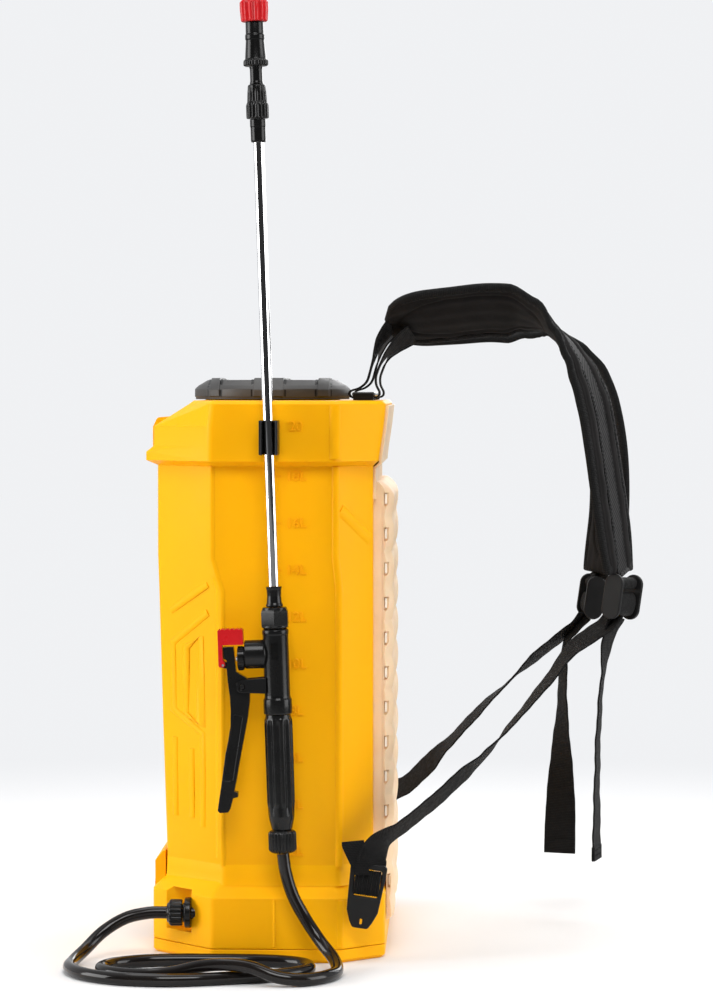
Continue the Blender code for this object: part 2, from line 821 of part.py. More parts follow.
def control_panel():
    """The panel on the front of the base, with a rocker switch, a pressure knob and a charging socket."""
    wall = BASE_FRONT - GAP
    panel = block(
        "control_panel", (PANEL_FACE, -0.048, 0.0220), (wall, 0.048, 0.0610), black_plastic(), bevel=0.0006
    )
    cut(panel, block("rocker_hole", (-0.12, -0.0345, 0.0320), (-0.10, -0.0215, 0.0530), rubber()))
    sideways = Matrix.Rotation(-math.pi / 2, 4, "Y")
    knob_place = Matrix.Translation((PANEL_FACE, 0.002, 0.0425)) @ sideways
    cut(panel, rod("knob_hole", -0.01, 0.01, 0.0036, rubber(), place=knob_place))
    socket_place = Matrix.Translation((PANEL_FACE, 0.033, 0.0425)) @ sideways
    cut(panel, rod("socket_hole", -0.01, 0.01, 0.0058, rubber(), place=socket_place))
    rocker = [(-0.1060, 0.0340), (-0.1060, 0.0510), (-0.1150, 0.0515), (-0.1135, 0.0425), (-0.1150, 0.0335)]
    plate_xz("power_switch", rocker, -0.0340, -0.0220, red_plastic(), origin=(-0.1105, -0.028, 0.0425))
    profile = [
        (0, -0.006),
        (0.0032, -0.006),
        (0.0032, 0.0005),
        (0.0120, 0.0006),
        (0.0120, 0.0080, 0.0008),
        (0.0105, 0.0115, 0.0006),
        (0, 0.0115),
    ]
    turned(
        "pressure_knob", profile, black_plastic(), place=knob_place, origin=knob_place.translation, flutes=16
    )
    profile = [(0, -0.010), (0.0054, -0.010), (0.0054, -0.0004), (0.0020, -0.0004), (0.0020, -0.004), (0, -0.004)]
    turned("charge_socket", profile, black_plastic(), place=socket_place, steps=16)
    hinge = Vector((PANEL_FACE - 0.0016, 0.033, 0.0525))
    cap = [(0, 0.0004), (0.0085, 0.0004), (0.0085, 0.0022), (0.0075, 0.0028), (0, 0.0028)]
    cover = turned("charge_cap", cap, rubber(), place=socket_place, origin=hinge, steps=20)
    tab = block(
        "charge_tab", (PANEL_FACE - 0.0022, 0.0300, 0.0490), (PANEL_FACE - 0.0008, 0.0360, 0.0535), rubber()
    )
    join(cover, tab)


# Lance and spray gun, along Z from the hose nut's foot


def gun_axis():
    axis = bpy.data.objects.new("gun_axis", None)
    axis.location = GUN_FOOT
    axis.rotation_euler.y = GUN_LEAN
    bpy.context.scene.collection.objects.link(axis)
    return axis


def nozzle(axis):
    black = black_plastic()
    profile = [(0, 0.7200), (0.0115, 0.7200, 0.0012), (0.0122, 0.7290, 0.0012), (0.0122, 0.7375, 0.0014)]
    profile += [(0.0090, 0.7396), (0.0040, 0.7396), (0.0025, 0.7380), (0, 0.7380)]
    turned("nozzle_cap", profile, red_plastic(), axis, origin=(0, 0, 0.72), flutes=14)
    profile = [(0, 0.6817), (0.0098, 0.6817), (0.0108, 0.6830), (0.0108, 0.6850), (0.0100, 0.6870)]
    profile += [(0.0080, 0.7040), (0.0078, 0.7196), (0, 0.7196)]
    turned("nozzle_body", profile, black, axis)
    turned("nozzle_neck", [(0, 0.6662), (0.0060, 0.6662), (0.0060, 0.6813), (0, 0.6813)], black, axis)
    profile = [(0, 0.6367), (0.0098, 0.6367, 0.0010), (0.0085, 0.6600, 0.0010), (0.0075, 0.6658), (0, 0.6658)]
    turned("nozzle_nut", profile, black, axis, origin=(0, 0, 0.6367), flutes=12)
    turned("lance_collar", [(0, 0.6163), (0.0069, 0.6163), (0.0069, 0.6363), (0, 0.6363)], black, axis)


def lance_tube(axis):
    bore = TUBE_RADIUS - 0.0008
    profile = [(TUBE_RADIUS, 0.2322), (TUBE_RADIUS, 0.6159), (bore, 0.6159), (bore, 0.2322)]
    turned("lance_tube", profile, steel(), axis)


def gun_ferrule(axis):
    black = black_plastic()
    profile = [(0, 0.2143), (0.0072, 0.2143), (0.0072, 0.2170), (0.0062, 0.2230), (0.0069, 0.2318), (0, 0.2318)]
    turned("gun_ferrule", profile, black, axis)
    profile = [(0, 0.1959), (0.0120, 0.1959), (0.0132, 0.1970), (0.0132, 0.2120), (0.0115, 0.2139), (0, 0.2139)]
    turned("gun_hex_nut", profile, black, axis, steps=6)


def gun_body(axis):
    """The upper body with its valve block, and the two ears that carry the lever's pin."""
    black = black_plastic()
    profile = [(0, 0.1210), (0.0125, 0.1210), (0.0130, 0.1280), (0.0125, 0.1350), (0.0112, 0.1362)]
    profile += [(0.0112, 0.1940), (0.0100, 0.1955), (0, 0.1955)]
    body = turned("gun_body", profile, black, axis)
    join(body, block("valve_block", (-0.0330, -0.0085, 0.1610), (0, 0.0085, 0.1790), black, axis, bevel=0.001))
    for i, side in enumerate((-1, 1)):
        low, high = sorted((side * 0.0056, side * 0.0086))
        join(body, block(f"lever_ear_{i}", (-0.0335, low, 0.1410), (-0.0090, high, 0.1520), black, axis))
    lying = Matrix.Translation(TRIGGER_PIVOT) @ Matrix.Rotation(math.pi / 2, 4, "X")
    cut(body, rod("ear_bore", -0.02, 0.02, 0.0022, rubber(), axis, place=lying, steps=12))
    bore = Matrix.Translation((-0.040, 0, STEM_HEIGHT)) @ Matrix.Rotation(math.pi / 2, 4, "Y")
    cut(body, rod("stem_bore", 0.0, 0.022, 0.0024, rubber(), axis, place=bore, steps=12))
    return body


def gun_handle(axis):
    """The ribbed, hollow handle and the filter inside it."""
    profile = [
        (0.0085, 0.1205),
        (0.0085, 0.0400),
        (0.0040, 0.0360),
        (0.0040, 0.0204),
        (0.0088, 0.0204),
        (0.0112, 0.0320),
        (GRIP_RADIUS - 0.0004, 0.0340, 0.0008),
        (GRIP_RADIUS + 0.0004, 0.1180, 0.0008),
        (0.0110, 0.1205),
    ]
    turned("gun_handle", profile, black_plastic(), axis, flutes=16)
    rod("gun_filter", 0.0420, 0.1180, 0.0070, material("filter_mesh", (0.6, 0.6, 0.58), 0.5), axis)
    profile = [(0, 0.0), (0.0090, 0.0), (0.0122, 0.0018, 0.0010), (0.0122, 0.0185, 0.0010), (0.0090, 0.0200), (0, 0.0200)]
    turned("gun_hose_nut", profile, black_plastic(), axis, flutes=16)


def trigger(axis):
    """The squeeze lever, with an ear for the lock on its far side from the handle."""
    outline = [
        (-0.0430, 0.1808),
        (-0.0430, 0.1675),
        (-0.0485, 0.1672),
        (-0.0485, 0.1630),
        (-0.0430, 0.1615),
        (-0.0425, 0.1500),
        (-0.0420, 0.1380),
        (-0.0420, 0.1150),
        (-0.0470, 0.0800),
        (-0.0525, 0.0450),
        (-0.0555, 0.0385),
        (-0.0530, 0.0365),
        (-0.0460, 0.0380),
        (-0.0435, 0.0500),
        (-0.0370, 0.0510),
        (-0.0370, 0.0545),
        (-0.0425, 0.0560),
        (-0.0390, 0.0800),
        (-0.0325, 0.1150),
        (-0.0275, 0.1320),
        (-0.0245, 0.1410),
        (-0.0250, 0.1520),
        (-0.0350, 0.1590),
        (-0.0365, 0.1808),
    ]
    lever = plate_xz("trigger_lever", outline, -0.0050, 0.0050, black_plastic(), axis, TRIGGER_PIVOT)
    for i, side in enumerate((-1, 1)):
        low, high = sorted((side * 0.0020, side * 0.0100))
        trim = block(f"lever_trim_{i}", (-0.0520, low, 0.1615), (-0.0430, high, 0.1690), rubber(), axis)
        cut(lever, trim)
    lying = Matrix.Translation(TRIGGER_PIVOT) @ Matrix.Rotation(math.pi / 2, 4, "X")
    cut(lever, rod("lever_bore", -0.02, 0.02, 0.0022, rubber(), axis, place=lying, steps=12))
    rod("trigger_pin", -0.0092, 0.0092, 0.0019, steel(), axis, place=lying, steps=12)
    lying = Matrix.Translation(LATCH_PIVOT) @ Matrix.Rotation(math.pi / 2, 4, "X")
    cut(lever, rod("ear_hole", -0.02, 0.02, 0.0013, rubber(), axis, place=lying, steps=12))
    return lever


def lever_lock(axis):
    """The L-shaped lock that hooks over the lever's top, and its pin."""
    outline = [
        (-0.0500, 0.1965),
        (-0.0500, 0.1645),
        (-0.0488, 0.1632),
        (-0.0452, 0.1632),
        (-0.0440, 0.1645),
        (-0.0440, 0.1825),
        (-0.0280, 0.1825),
        (-0.0280, 0.1965),
    ]
    lock = plate_xz("lever_lock", outline, -0.0060, 0.0060, red_plastic(), axis, LATCH_PIVOT)
    cut(lock, block("lock_slot", (-0.052, -0.0026, 0.160), (-0.042, 0.0026, 0.1705), rubber(), axis))
    lying = Matrix.Translation(LATCH_PIVOT) @ Matrix.Rotation(math.pi / 2, 4, "X")
    cut(lock, rod("lock_hole", -0.02, 0.02, 0.0013, rubber(), axis, place=lying, steps=12))
    rod("lock_pin", -0.0062, 0.0062, 0.0010, steel(), axis, place=lying, steps=12)
    return lock


def valve_stem(axis):
    lying = Matrix.Translation((-0.0350, 0, STEM_HEIGHT)) @ Matrix.Rotation(math.pi / 2, 4, "Y")
    rod("valve_stem", 0.0, 0.0160, 0.0020, steel(), axis, place=lying, origin=(-0.0350, 0, STEM_HEIGHT), steps=12)


# Straps


def strap(side, label, pad, adjuster_place, lower, lower_twist, tail, tail_twist):
    """One carrying strap: side is -1 for the -Y side.

    The pad's route is (x, z) in the strap's own plane. Each twist is for the -Y side, and mirrored on the other.
    """
    fabric = webbing()

    def route(points):
        return [(x, side * y, z) for x, y, z in points]

    def turned_over(twist):
        return [(share, -side * angle) for share, angle in twist]

    ribbon(
        f"top_webbing_{label}",
        route([(x, STRAP_PLANE, z) for x, z in TOP_ROUTE]),
        fabric,
        44,
        WEB_WIDTH,
        WEB_THICK,
        turned_over(TOP_TWIST),
    )
    ribbon(
        f"shoulder_pad_{label}",
        route([(x, STRAP_PLANE, z) for x, z in pad]),
        fabric,
        28,
        PAD_WIDTH,
        PAD_THICK,
        turned_over(PAD_TWIST),
        ends=0.07,
    )
    x, z = adjuster_place
    adjuster(label, Vector((x, side * STRAP_PLANE, z)), side)
    ribbon(
        f"lower_webbing_{label}",
        route(lower + LOWER_END),
        fabric,
        34,
        WEB_WIDTH,
        WEB_THICK,
        turned_over(lower_twist),
    )
    ribbon(f"strap_tail_{label}", route(tail), fabric, 16, WEB_WIDTH, WEB_THICK, turned_over(tail_twist))
    hook_buckle(label, side)


def adjuster(label, centre, side):
    """A ladder buckle below the pad: two round-ended side plates with three bars between them."""
    black = black_plastic()
    lean = Matrix.Rotation(math.radians(8), 4, "Y") @ Matrix.Rotation(math.radians(side * 30), 4, "Z")
    place = Matrix.Translation(centre) @ lean
    half_wide, half_high, half_long = ADJUSTER_HALF
    outline = []
    for centre_z, first in ((half_high - half_wide, 0), (half_wide - half_high, 180)):
        for k in range(7):
            angle = math.radians(first + 30 * k)
            outline.append((half_wide * math.cos(angle), centre_z + half_wide * math.sin(angle)))
    frame = plate_xz(f"adjuster_{label}", outline, -half_long, -half_long + ADJUSTER_RAIL, black)
    far_rail = plate_xz(f"adjuster_rail_{label}", outline, half_long - ADJUSTER_RAIL, half_long, black)
    far_rail.matrix_world = place
    join(frame, far_rail)
    along_y = Matrix.Rotation(math.radians(90), 4, "X")
    for i, height in enumerate((-ADJUSTER_STEP, 0.0, ADJUSTER_STEP)):
        bar = rod(f"adjuster_bar_{label}_{i}", 0.002 - half_long, half_long - 0.002, ADJUSTER_BAR, black, steps=12)
        bar.matrix_world = place @ Matrix.Translation((0, 0, height)) @ along_y
        join(frame, bar)
    frame.matrix_world = place
    return frame


def hook_buckle(label, side):
    """The lower buckle: a plate with a cross bar and a foot that hooks over the base's side."""
    outer = sorted((side * 0.1735, side * 0.1785))
    outline = [(0.0675, 0.0890), (0.0662, 0.0860), (0.0680, 0.0470), (0.0745, 0.0320), (0.0885, 0.0320)]
    outline += [(0.0955, 0.0470), (0.0985, 0.0860), (0.0970, 0.0890)]
    plate = plate_xz(f"hook_buckle_{label}", outline, *outer, black_plastic())
    for i, (low, high) in enumerate([(0.0480, 0.0620), (0.0665, 0.0810)]):
        window = block(f"hook_window_{label}_{i}", (0.0715, -0.3, low), (0.0935, 0.3, high), rubber())
        cut(plate, window)
    inner = sorted((side * 0.1825, side * (0.1825 + WEB_THICK)))
    tail = [(0.0625, 0.0860), (0.0625, 0.1080), (0.0655, 0.1120), (0.0790, 0.1120), (0.0805, 0.0900), (0.0790, 0.0720), (0.0700, 0.0720)]
    plate_xz(f"hook_tail_{label}", tail, *inner, webbing())


def build():
    tank_shell()
    strainer()
    lid_gasket()
    lid()
    strap_anchor()
    lance_clip()
    base_housing()
    base_tray()
    tray_screws()
    back_rest()
    outlet()
    power_unit()
    control_panel()
    axis = gun_axis()
    nozzle(axis)
    lance_tube(axis)
    gun_ferrule(axis)
    gun_body(axis)
    gun_handle(axis)
    trigger(axis)
    lever_lock(axis)
    valve_stem(axis)
    pipe("hose", smooth_points(HOSE_ROUTE, HOSE_POINTS), HOSE_RADIUS, material("hose_black", BLACK, 0.25))
    strap(-1, "near", NEAR_PAD, (0.3105, 0.3165), NEAR_LOWER, NEAR_LOWER_TWIST, NEAR_TAIL, NEAR_TAIL_TWIST)
    strap(1, "far", FAR_PAD, (0.2820, 0.3065), FAR_LOWER, FAR_LOWER_TWIST, FAR_TAIL, FAR_TAIL_TWIST)


build()
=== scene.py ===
"""The looks of the backpack sprayer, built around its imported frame. Metres, +Z up, -X the outlet's side."""

import json
import math

import bmesh
import bpy
from mathutils import Matrix, Vector


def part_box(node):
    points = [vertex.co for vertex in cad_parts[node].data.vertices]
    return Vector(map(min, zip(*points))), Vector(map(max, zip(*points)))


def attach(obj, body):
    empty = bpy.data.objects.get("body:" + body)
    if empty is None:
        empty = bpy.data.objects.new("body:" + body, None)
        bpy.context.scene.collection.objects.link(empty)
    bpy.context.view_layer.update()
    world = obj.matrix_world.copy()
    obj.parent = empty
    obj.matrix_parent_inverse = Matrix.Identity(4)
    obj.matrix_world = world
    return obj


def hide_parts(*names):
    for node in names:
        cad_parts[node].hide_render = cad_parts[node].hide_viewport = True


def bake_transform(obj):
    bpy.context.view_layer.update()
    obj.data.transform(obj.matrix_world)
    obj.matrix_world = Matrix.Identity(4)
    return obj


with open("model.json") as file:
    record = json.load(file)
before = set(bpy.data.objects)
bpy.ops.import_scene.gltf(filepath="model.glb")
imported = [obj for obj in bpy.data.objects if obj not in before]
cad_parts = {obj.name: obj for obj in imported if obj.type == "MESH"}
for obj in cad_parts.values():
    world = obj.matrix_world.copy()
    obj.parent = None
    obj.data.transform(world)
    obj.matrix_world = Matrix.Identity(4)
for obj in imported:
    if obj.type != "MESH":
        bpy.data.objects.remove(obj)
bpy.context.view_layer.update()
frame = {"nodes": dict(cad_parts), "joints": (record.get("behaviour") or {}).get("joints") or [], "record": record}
nodes = frame["nodes"]
joints = {joint["name"]: joint for joint in frame["joints"]}

# ---------------------------------------------------------------- driving places, read from the frame

tank_low, tank_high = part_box("tank_shell")
base_low, base_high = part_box("base_housing")
tray_low, tray_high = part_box("base_tray")
lid_low, lid_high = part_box("lid")
rest_low, rest_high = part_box("back_rest")
MOUTH_X = (lid_low.x + lid_high.x) / 2
NECK_RADIUS = 0.062
MOUTH_RADIUS = 0.056
COLLAR_HALF = tank_high.y
TANK_TOP = 0.4925
WALL = 0.003

LANCE_UP = Vector(joints["nozzle_cap_turn"]["axis"])
GUN_FOOT = Vector(joints["nozzle_cap_turn"]["pos_m"]) - LANCE_UP * 0.72
GUN = Matrix.Translation(GUN_FOOT) @ Matrix.Rotation(math.atan2(LANCE_UP.x, LANCE_UP.z), 4, "Y")

HOSE_DIAMETER = 0.011
HOSE_ROUTE = [
    (-0.0936, -0.150, 0.0410), (-0.1100, -0.150, 0.0405), (-0.1300, -0.152, 0.0360),
    (-0.1490, -0.159, 0.0250), (-0.1630, -0.174, 0.0120), (-0.1710, -0.198, 0.0058),
    (-0.1705, -0.228, 0.0057), (-0.1560, -0.257, 0.0057), (-0.1280, -0.278, 0.0057),
    (-0.0920, -0.286, 0.0057), (-0.0600, -0.283, 0.0057), (-0.0280, -0.273, 0.0057),
    (0.0000, -0.264, 0.0057), (0.0220, -0.252, 0.0057), (0.0350, -0.233, 0.0057),
    (0.0330, -0.210, 0.0057), (0.0160, -0.195, 0.0057), (-0.0100, -0.1885, 0.0057),
    (-0.0450, -0.1870, 0.0057), (-0.0800, -0.1875, 0.0057), (-0.1100, -0.1930, 0.0057),
    (-0.1340, -0.2080, 0.0057), (-0.1430, -0.2300, 0.0057), (-0.1330, -0.2510, 0.0057),
    (-0.1080, -0.2630, 0.0060), (-0.0800, -0.2670, 0.0085), (-0.0560, -0.2705, 0.0145),
    (-0.0340, -0.2745, 0.0172), (-0.0120, -0.2795, 0.0160), (0.0120, -0.2850, 0.0085),
    (0.0350, -0.2800, 0.0057), (0.0530, -0.2620, 0.0057), (0.0600, -0.2370, 0.0060),
    (0.0560, -0.2120, 0.0120), (0.0440, -0.1960, 0.0240), (0.0310, -0.1890, 0.0420),
    (0.0200, -0.1872, 0.0620), (0.0137, -0.1870, 0.0820), (0.0112, -0.1870, 0.0990),
]

# ---------------------------------------------------------------- materials

ROOM_COLOUR = (0.97, 0.98, 1.0, 1.0)
ROOM_LEVEL = 0.90


def set_inputs(node, values):
    for name, value in values.items():
        node.inputs[name].default_value = value


def add_node(tree, kind, values=None, **settings):
    """A new node of this kind, with its settings and the values of its input sockets."""
    made = tree.nodes.new("ShaderNode" + kind)
    for name, value in settings.items():
        setattr(made, name, value)
    set_inputs(made, values or {})
    return made


def principled(name, colour, roughness, metallic=0.0, sheen=0.0, gloss=0.5):
    """A new material, its tree and its shader, with the constants on the shader's own sockets."""
    made = bpy.data.materials.new(name)
    made.use_nodes = True
    shader = made.node_tree.nodes["Principled BSDF"]
    values = {"Base Color": (*colour, 1.0), "Roughness": roughness, "Metallic": metallic}
    values |= {"Sheen Weight": sheen, "Sheen Roughness": 0.45, "Specular IOR Level": gloss}
    set_inputs(shader, values)
    return made, made.node_tree, shader


def shine_through(shader, weight, radius):
    """Light that enters the surface and leaves it nearby."""
    set_inputs(shader, {"Subsurface Weight": weight, "Subsurface Radius": radius, "Subsurface Scale": 0.6})


def coordinates(tree, kind="Object"):
    coords = tree.nodes.get("coords") or tree.nodes.new("ShaderNodeTexCoord")
    coords.name = "coords"
    return coords.outputs[kind]


def mapped(tree, source, values):
    mapping = add_node(tree, "Mapping", values)
    tree.links.new(source, mapping.inputs["Vector"])
    return mapping.outputs["Vector"]


def noise(tree, scale, detail=2.0, stretch=None):
    """The factor of a noise over the piece, stretched per axis if asked."""
    made = add_node(tree, "TexNoise", {"Scale": scale, "Detail": detail})
    source = coordinates(tree)
    if stretch:
        source = mapped(tree, source, {"Scale": stretch})
    tree.links.new(source, made.inputs["Vector"])
    return made.outputs["Fac"]


def waves(tree, scale, direction="X", turn=0.0):
    """Straight bands across the UV map, `scale` bands for each metre of it over 2 pi."""
    made = add_node(tree, "TexWave", {"Scale": scale}, wave_type="BANDS", bands_direction=direction)
    source = mapped(tree, coordinates(tree, "UV"), {"Rotation": (0, 0, turn)})
    tree.links.new(source, made.inputs["Vector"])
    return made.outputs["Fac"]


def ramp(tree, source, low, high, target, start=0.35, end=0.65):
    """Two colours mixed by the source, into the target socket."""
    made = add_node(tree, "ValToRGB")
    for stop, position, colour in zip(made.color_ramp.elements, (start, end), (low, high)):
        stop.position = position
        stop.color = (*colour, 1.0)
    tree.links.new(source, made.inputs["Fac"])
    tree.links.new(made.outputs["Color"], target)


def ranged(tree, source, values, **settings):
    """The source mapped from one range to another."""
    made = add_node(tree, "MapRange", values, **settings)
    tree.links.new(source, made.inputs["Value"])
    return made.outputs["Result"]


def spread(tree, source, low, high, target):
    """The source's 0.3 to 0.7 mapped to low to high, into the target socket."""
    values = {"From Min": 0.3, "From Max": 0.7, "To Min": low, "To Max": high}
    tree.links.new(ranged(tree, source, values), target)


def combine(tree, first, second, operation):
    made = add_node(tree, "Math", operation=operation)
    tree.links.new(first, made.inputs[0])
    if isinstance(second, float):
        made.inputs[1].default_value = second
    else:
        tree.links.new(second, made.inputs[1])
    return made.outputs["Value"]


def bumped(tree, shader, height, strength, distance):
    """Adds the height to the shader's normal, after any bump that is there already."""
    made = add_node(tree, "Bump", {"Strength": strength, "Distance": distance})
    tree.links.new(height, made.inputs["Height"])
    if shader.inputs["Normal"].links:
        tree.links.new(shader.inputs["Normal"].links[0].from_socket, made.inputs["Normal"])
    tree.links.new(made.outputs["Normal"], shader.inputs["Normal"])


def plastic(name, dark, light, roughness, grain=0.00004, mottling=9.0, gloss=0.5):
    """Moulded plastic: slow colour drift, uneven gloss, a fine grain and faint flow streaks."""
    made, tree, shader = principled(name, light, roughness, gloss=gloss)
    ramp(tree, noise(tree, mottling, 3.0), dark, light, shader.inputs["Base Color"], 0.25, 0.75)
    spread(tree, noise(tree, 60.0, 4.0), roughness * 0.85, roughness * 1.2, shader.inputs["Roughness"])
    bumped(tree, shader, noise(tree, 1800.0, 2.0), 0.25, grain)
    bumped(tree, shader, noise(tree, 40.0, 2.0, stretch=(1.0, 1.0, 0.25)), 0.15, 0.0003)
    return made


def make_yellow():
    dark, light = (0.90, 0.400, 0.0030), (0.96, 0.445, 0.0036)
    made = plastic("yellow_plastic", dark, light, 0.38, mottling=5.0, gloss=0.07)
    shine_through(made.node_tree.nodes["Principled BSDF"], 0.12, (0.010, 0.005, 0.001))
    return made


def make_metal(name, colour, roughness, scratches):
    """Metal with long fine scratches along the lance and slight uneven gloss."""
    made, tree, shader = principled(name, colour, roughness, metallic=1.0)
    streak = noise(tree, 900.0, 2.0, stretch=(1.0, 1.0, 0.02))
    spread(tree, streak, roughness * 0.7, roughness * 1.6, shader.inputs["Roughness"])
    bumped(tree, shader, streak, scratches, 0.00002)
    return made


def make_webbing():
    """Ribbed polypropylene webbing: a rib every 1.6 mm along the strap and a herringbone within."""
    made, tree, shader = principled("webbing_weave", (0.012, 0.011, 0.011), 0.72, sheen=0.03, gloss=0.12)
    ribs = waves(tree, 200.0, direction="Y")
    twill = waves(tree, 330.0, turn=math.radians(58))
    weave = combine(tree, ribs, twill, "MULTIPLY")
    ramp(tree, weave, [0.004] * 3, (0.016, 0.015, 0.015), shader.inputs["Base Color"], 0.1, 0.9)
    spread(tree, noise(tree, 300.0), 0.62, 0.85, shader.inputs["Roughness"])
    bumped(tree, shader, weave, 0.9, 0.0004)
    return made


def make_pad_fabric():
    """Dense plain-woven polyester: threads crossing every 0.8 mm, with some fluff and shade drift."""
    made, tree, shader = principled("pad_weave", (0.020, 0.018, 0.018), 0.82, sheen=0.03, gloss=0.12)
    threads = combine(tree, waves(tree, 390.0), waves(tree, 390.0, direction="Y"), "MAXIMUM")
    drift = combine(tree, threads, noise(tree, 25.0, 4.0), "MULTIPLY")
    dark, light = (0.005, 0.0045, 0.0045), (0.019, 0.0175, 0.0175)
    ramp(tree, drift, dark, light, shader.inputs["Base Color"], 0.1, 0.75)
    bumped(tree, shader, threads, 0.7, 0.00025)
    bumped(tree, shader, noise(tree, 120.0, 3.0), 0.35, 0.0012)
    return made


def make_twill():
    """The strap's centre band: bold diagonal twill lines."""
    made, tree, shader = principled("twill_weave", (0.015, 0.014, 0.014), 0.68, sheen=0.03, gloss=0.15)
    lines = waves(tree, 110.0, turn=math.radians(62))
    fine = waves(tree, 420.0, direction="Y")
    weave = combine(tree, lines, combine(tree, fine, 0.35, "MULTIPLY"), "ADD")
    ramp(tree, weave, [0.004] * 3, (0.024, 0.023, 0.023), shader.inputs["Base Color"], 0.2, 1.1)
    bumped(tree, shader, weave, 1.0, 0.0005)
    return made


def make_rest():
    """Pale foam with a fine closed-cell skin and warm, uneven colour."""
    made, tree, shader = principled("rest_foam", (0.82, 0.58, 0.36), 0.55, gloss=0.25)
    dark, light = (0.81, 0.575, 0.355), (0.86, 0.640, 0.420)
    ramp(tree, noise(tree, 28.0, 4.0), dark, light, shader.inputs["Base Color"])
    bumped(tree, shader, noise(tree, 700.0, 3.0), 0.5, 0.0003)
    shine_through(shader, 0.15, (0.012, 0.006, 0.003))
    return made


def make_hose():
    made, tree, shader = principled("hose_skin", (0.008, 0.006, 0.006), 0.12, gloss=0.30)
    ramp(tree, noise(tree, 12.0), (0.006, 0.005, 0.005), (0.011, 0.009, 0.008), shader.inputs["Base Color"])
    spread(tree, noise(tree, 45.0, 3.0), 0.08, 0.17, shader.inputs["Roughness"])
    bumped(tree, shader, noise(tree, 60.0, 2.0), 0.12, 0.0006)
    return made


def make_floor():
    """A matt pale floor that turns into the room's own light with distance, so there is no horizon."""
    made, tree, shader = principled("pale_floor", (0.80, 0.80, 0.80), 0.70, gloss=0.0)
    away = add_node(tree, "VectorMath", operation="LENGTH")
    tree.links.new(coordinates(tree), away.inputs[0])
    values = {"From Min": 0.45, "From Max": 1.50, "To Max": ROOM_LEVEL}
    grow = ranged(tree, away.outputs["Value"], values, interpolation_type="SMOOTHSTEP")
    # What the glossy parts reflect of the far floor is dimmer than what is seen of it
    seen = ranged(tree, add_node(tree, "LightPath").outputs["Is Camera Ray"], {"To Min": 0.25})
    shader.inputs["Emission Color"].default_value = ROOM_COLOUR
    tree.links.new(combine(tree, grow, seen, "MULTIPLY"), shader.inputs["Emission Strength"])
    ramp(tree, grow, [0.78] * 3, [0.0] * 3, shader.inputs["Base Color"], 0.0, ROOM_LEVEL)
    return made


YELLOW = make_yellow()
# The raised level marks are a deeper orange than the tank: painted shade of their outlines
MARK_PAINTED_SHADE = (0.86, 0.345, 0.0026), (0.91, 0.385, 0.0030)
CHARCOAL_SHADES = (0.042, 0.041, 0.040), (0.055, 0.054, 0.053)
MARK = plastic("yellow_marks_painted_shade", *MARK_PAINTED_SHADE, 0.40, mottling=30.0, gloss=0.07)
# Pale tabs set in the back rest's slots: painted highlight of the light showing through them
SLOT_HIGHLIGHT = plastic("pale_slot_highlights", (0.94, 0.84, 0.70), (0.98, 0.90, 0.78), 0.45, mottling=30.0)
BLACK = plastic("black_plastic_gloss", [0.005] * 3, [0.009] * 3, 0.20, mottling=30.0, gloss=0.24)
SATIN = plastic("black_plastic_satin", [0.006] * 3, [0.011] * 3, 0.42, mottling=30.0, gloss=0.22)
CHARCOAL = plastic("charcoal_plastic", *CHARCOAL_SHADES, 0.46, 0.00008, mottling=30.0, gloss=0.35)
RED = plastic("red_plastic", (0.47, 0.006, 0.010), (0.58, 0.011, 0.014), 0.30, mottling=40.0, gloss=0.3)
CHROME = make_metal("chromed_tube", (0.86, 0.86, 0.87), 0.06, 0.03)
STEEL = make_metal("plain_steel", (0.55, 0.55, 0.56), 0.32, 0.4)
WEBBING = make_webbing()
PAD = make_pad_fabric()
TWILL = make_twill()
REST = make_rest()
HOSE = make_hose()
RUBBER = plastic("seal_rubber", [0.010] * 3, [0.020] * 3, 0.65, 0.0001, mottling=50.0)
BATTERY = plastic("battery_wrap", (0.02, 0.07, 0.25), (0.04, 0.11, 0.34), 0.35, mottling=20.0)
MESH = plastic("filter_mesh", (0.50, 0.50, 0.48), (0.62, 0.62, 0.60), 0.5, 0.0003, mottling=200.0)

# Each node is dressed in its slot's surface, and each surface is listed with its slot
SURFACES = {
    "tank_yellow": YELLOW,
    "black_plastic": BLACK,
    "lid_charcoal": CHARCOAL,
    "signal_red": RED,
    "chromed_steel": CHROME,
    "machine_steel": STEEL,
    "webbing_black": WEBBING,
    "pad_fabric": PAD,
    "seal_rubber": RUBBER,
    "rest_cream": REST,
    "battery_blue": BATTERY,
    "hose_black": HOSE,
    "filter_mesh": MESH,
}
SLOTS = {surface: slot for slot, surface in SURFACES.items()}
SLOTS |= {MARK: "tank_yellow", SLOT_HIGHLIGHT: "rest_cream", SATIN: "black_plastic", TWILL: "webbing_black"}

# ---------------------------------------------------------------- makers of shapes


def piece(name, mesh, surface, body, replaces=(), smooth=38, bevel=0.0, segments=2):
    """The finished piece of a bmesh: shaded, bevelled if asked, riding on its body."""
    bmesh.ops.recalc_face_normals(mesh, faces=mesh.faces)
    data = bpy.data.meshes.new(name)
    mesh.to_mesh(data)
    mesh.free()
    data.shade_smooth()
    data.set_sharp_from_angle(angle=math.radians(smooth))
    data.materials.append(surface)
    made = bpy.data.objects.new(name, data)
    bpy.context.scene.collection.objects.link(made)
    if bevel:
        rounding = made.modifiers.new("rounding", "BEVEL")
        rounding.width = bevel
        rounding.segments = segments
        rounding.limit_method = "ANGLE"
        rounding.angle_limit = math.radians(32)
        rounding.harden_normals = True
    if body:
        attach(made, body)
    if replaces:
        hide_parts(*replaces)
    return made


def turned(name, profile, surface, body, replaces, slot=None, place=None, smooth=38, **options):
    """A piece turned from its profile, on the spray gun's axis unless placed elsewhere."""
    mesh = turned_mesh(profile, place or GUN, **options)
    return piece(name, mesh, surface, body, replaces, smooth)


def placed(rings, place):
    return rings if place is None else [[place @ point for point in ring] for ring in rings]


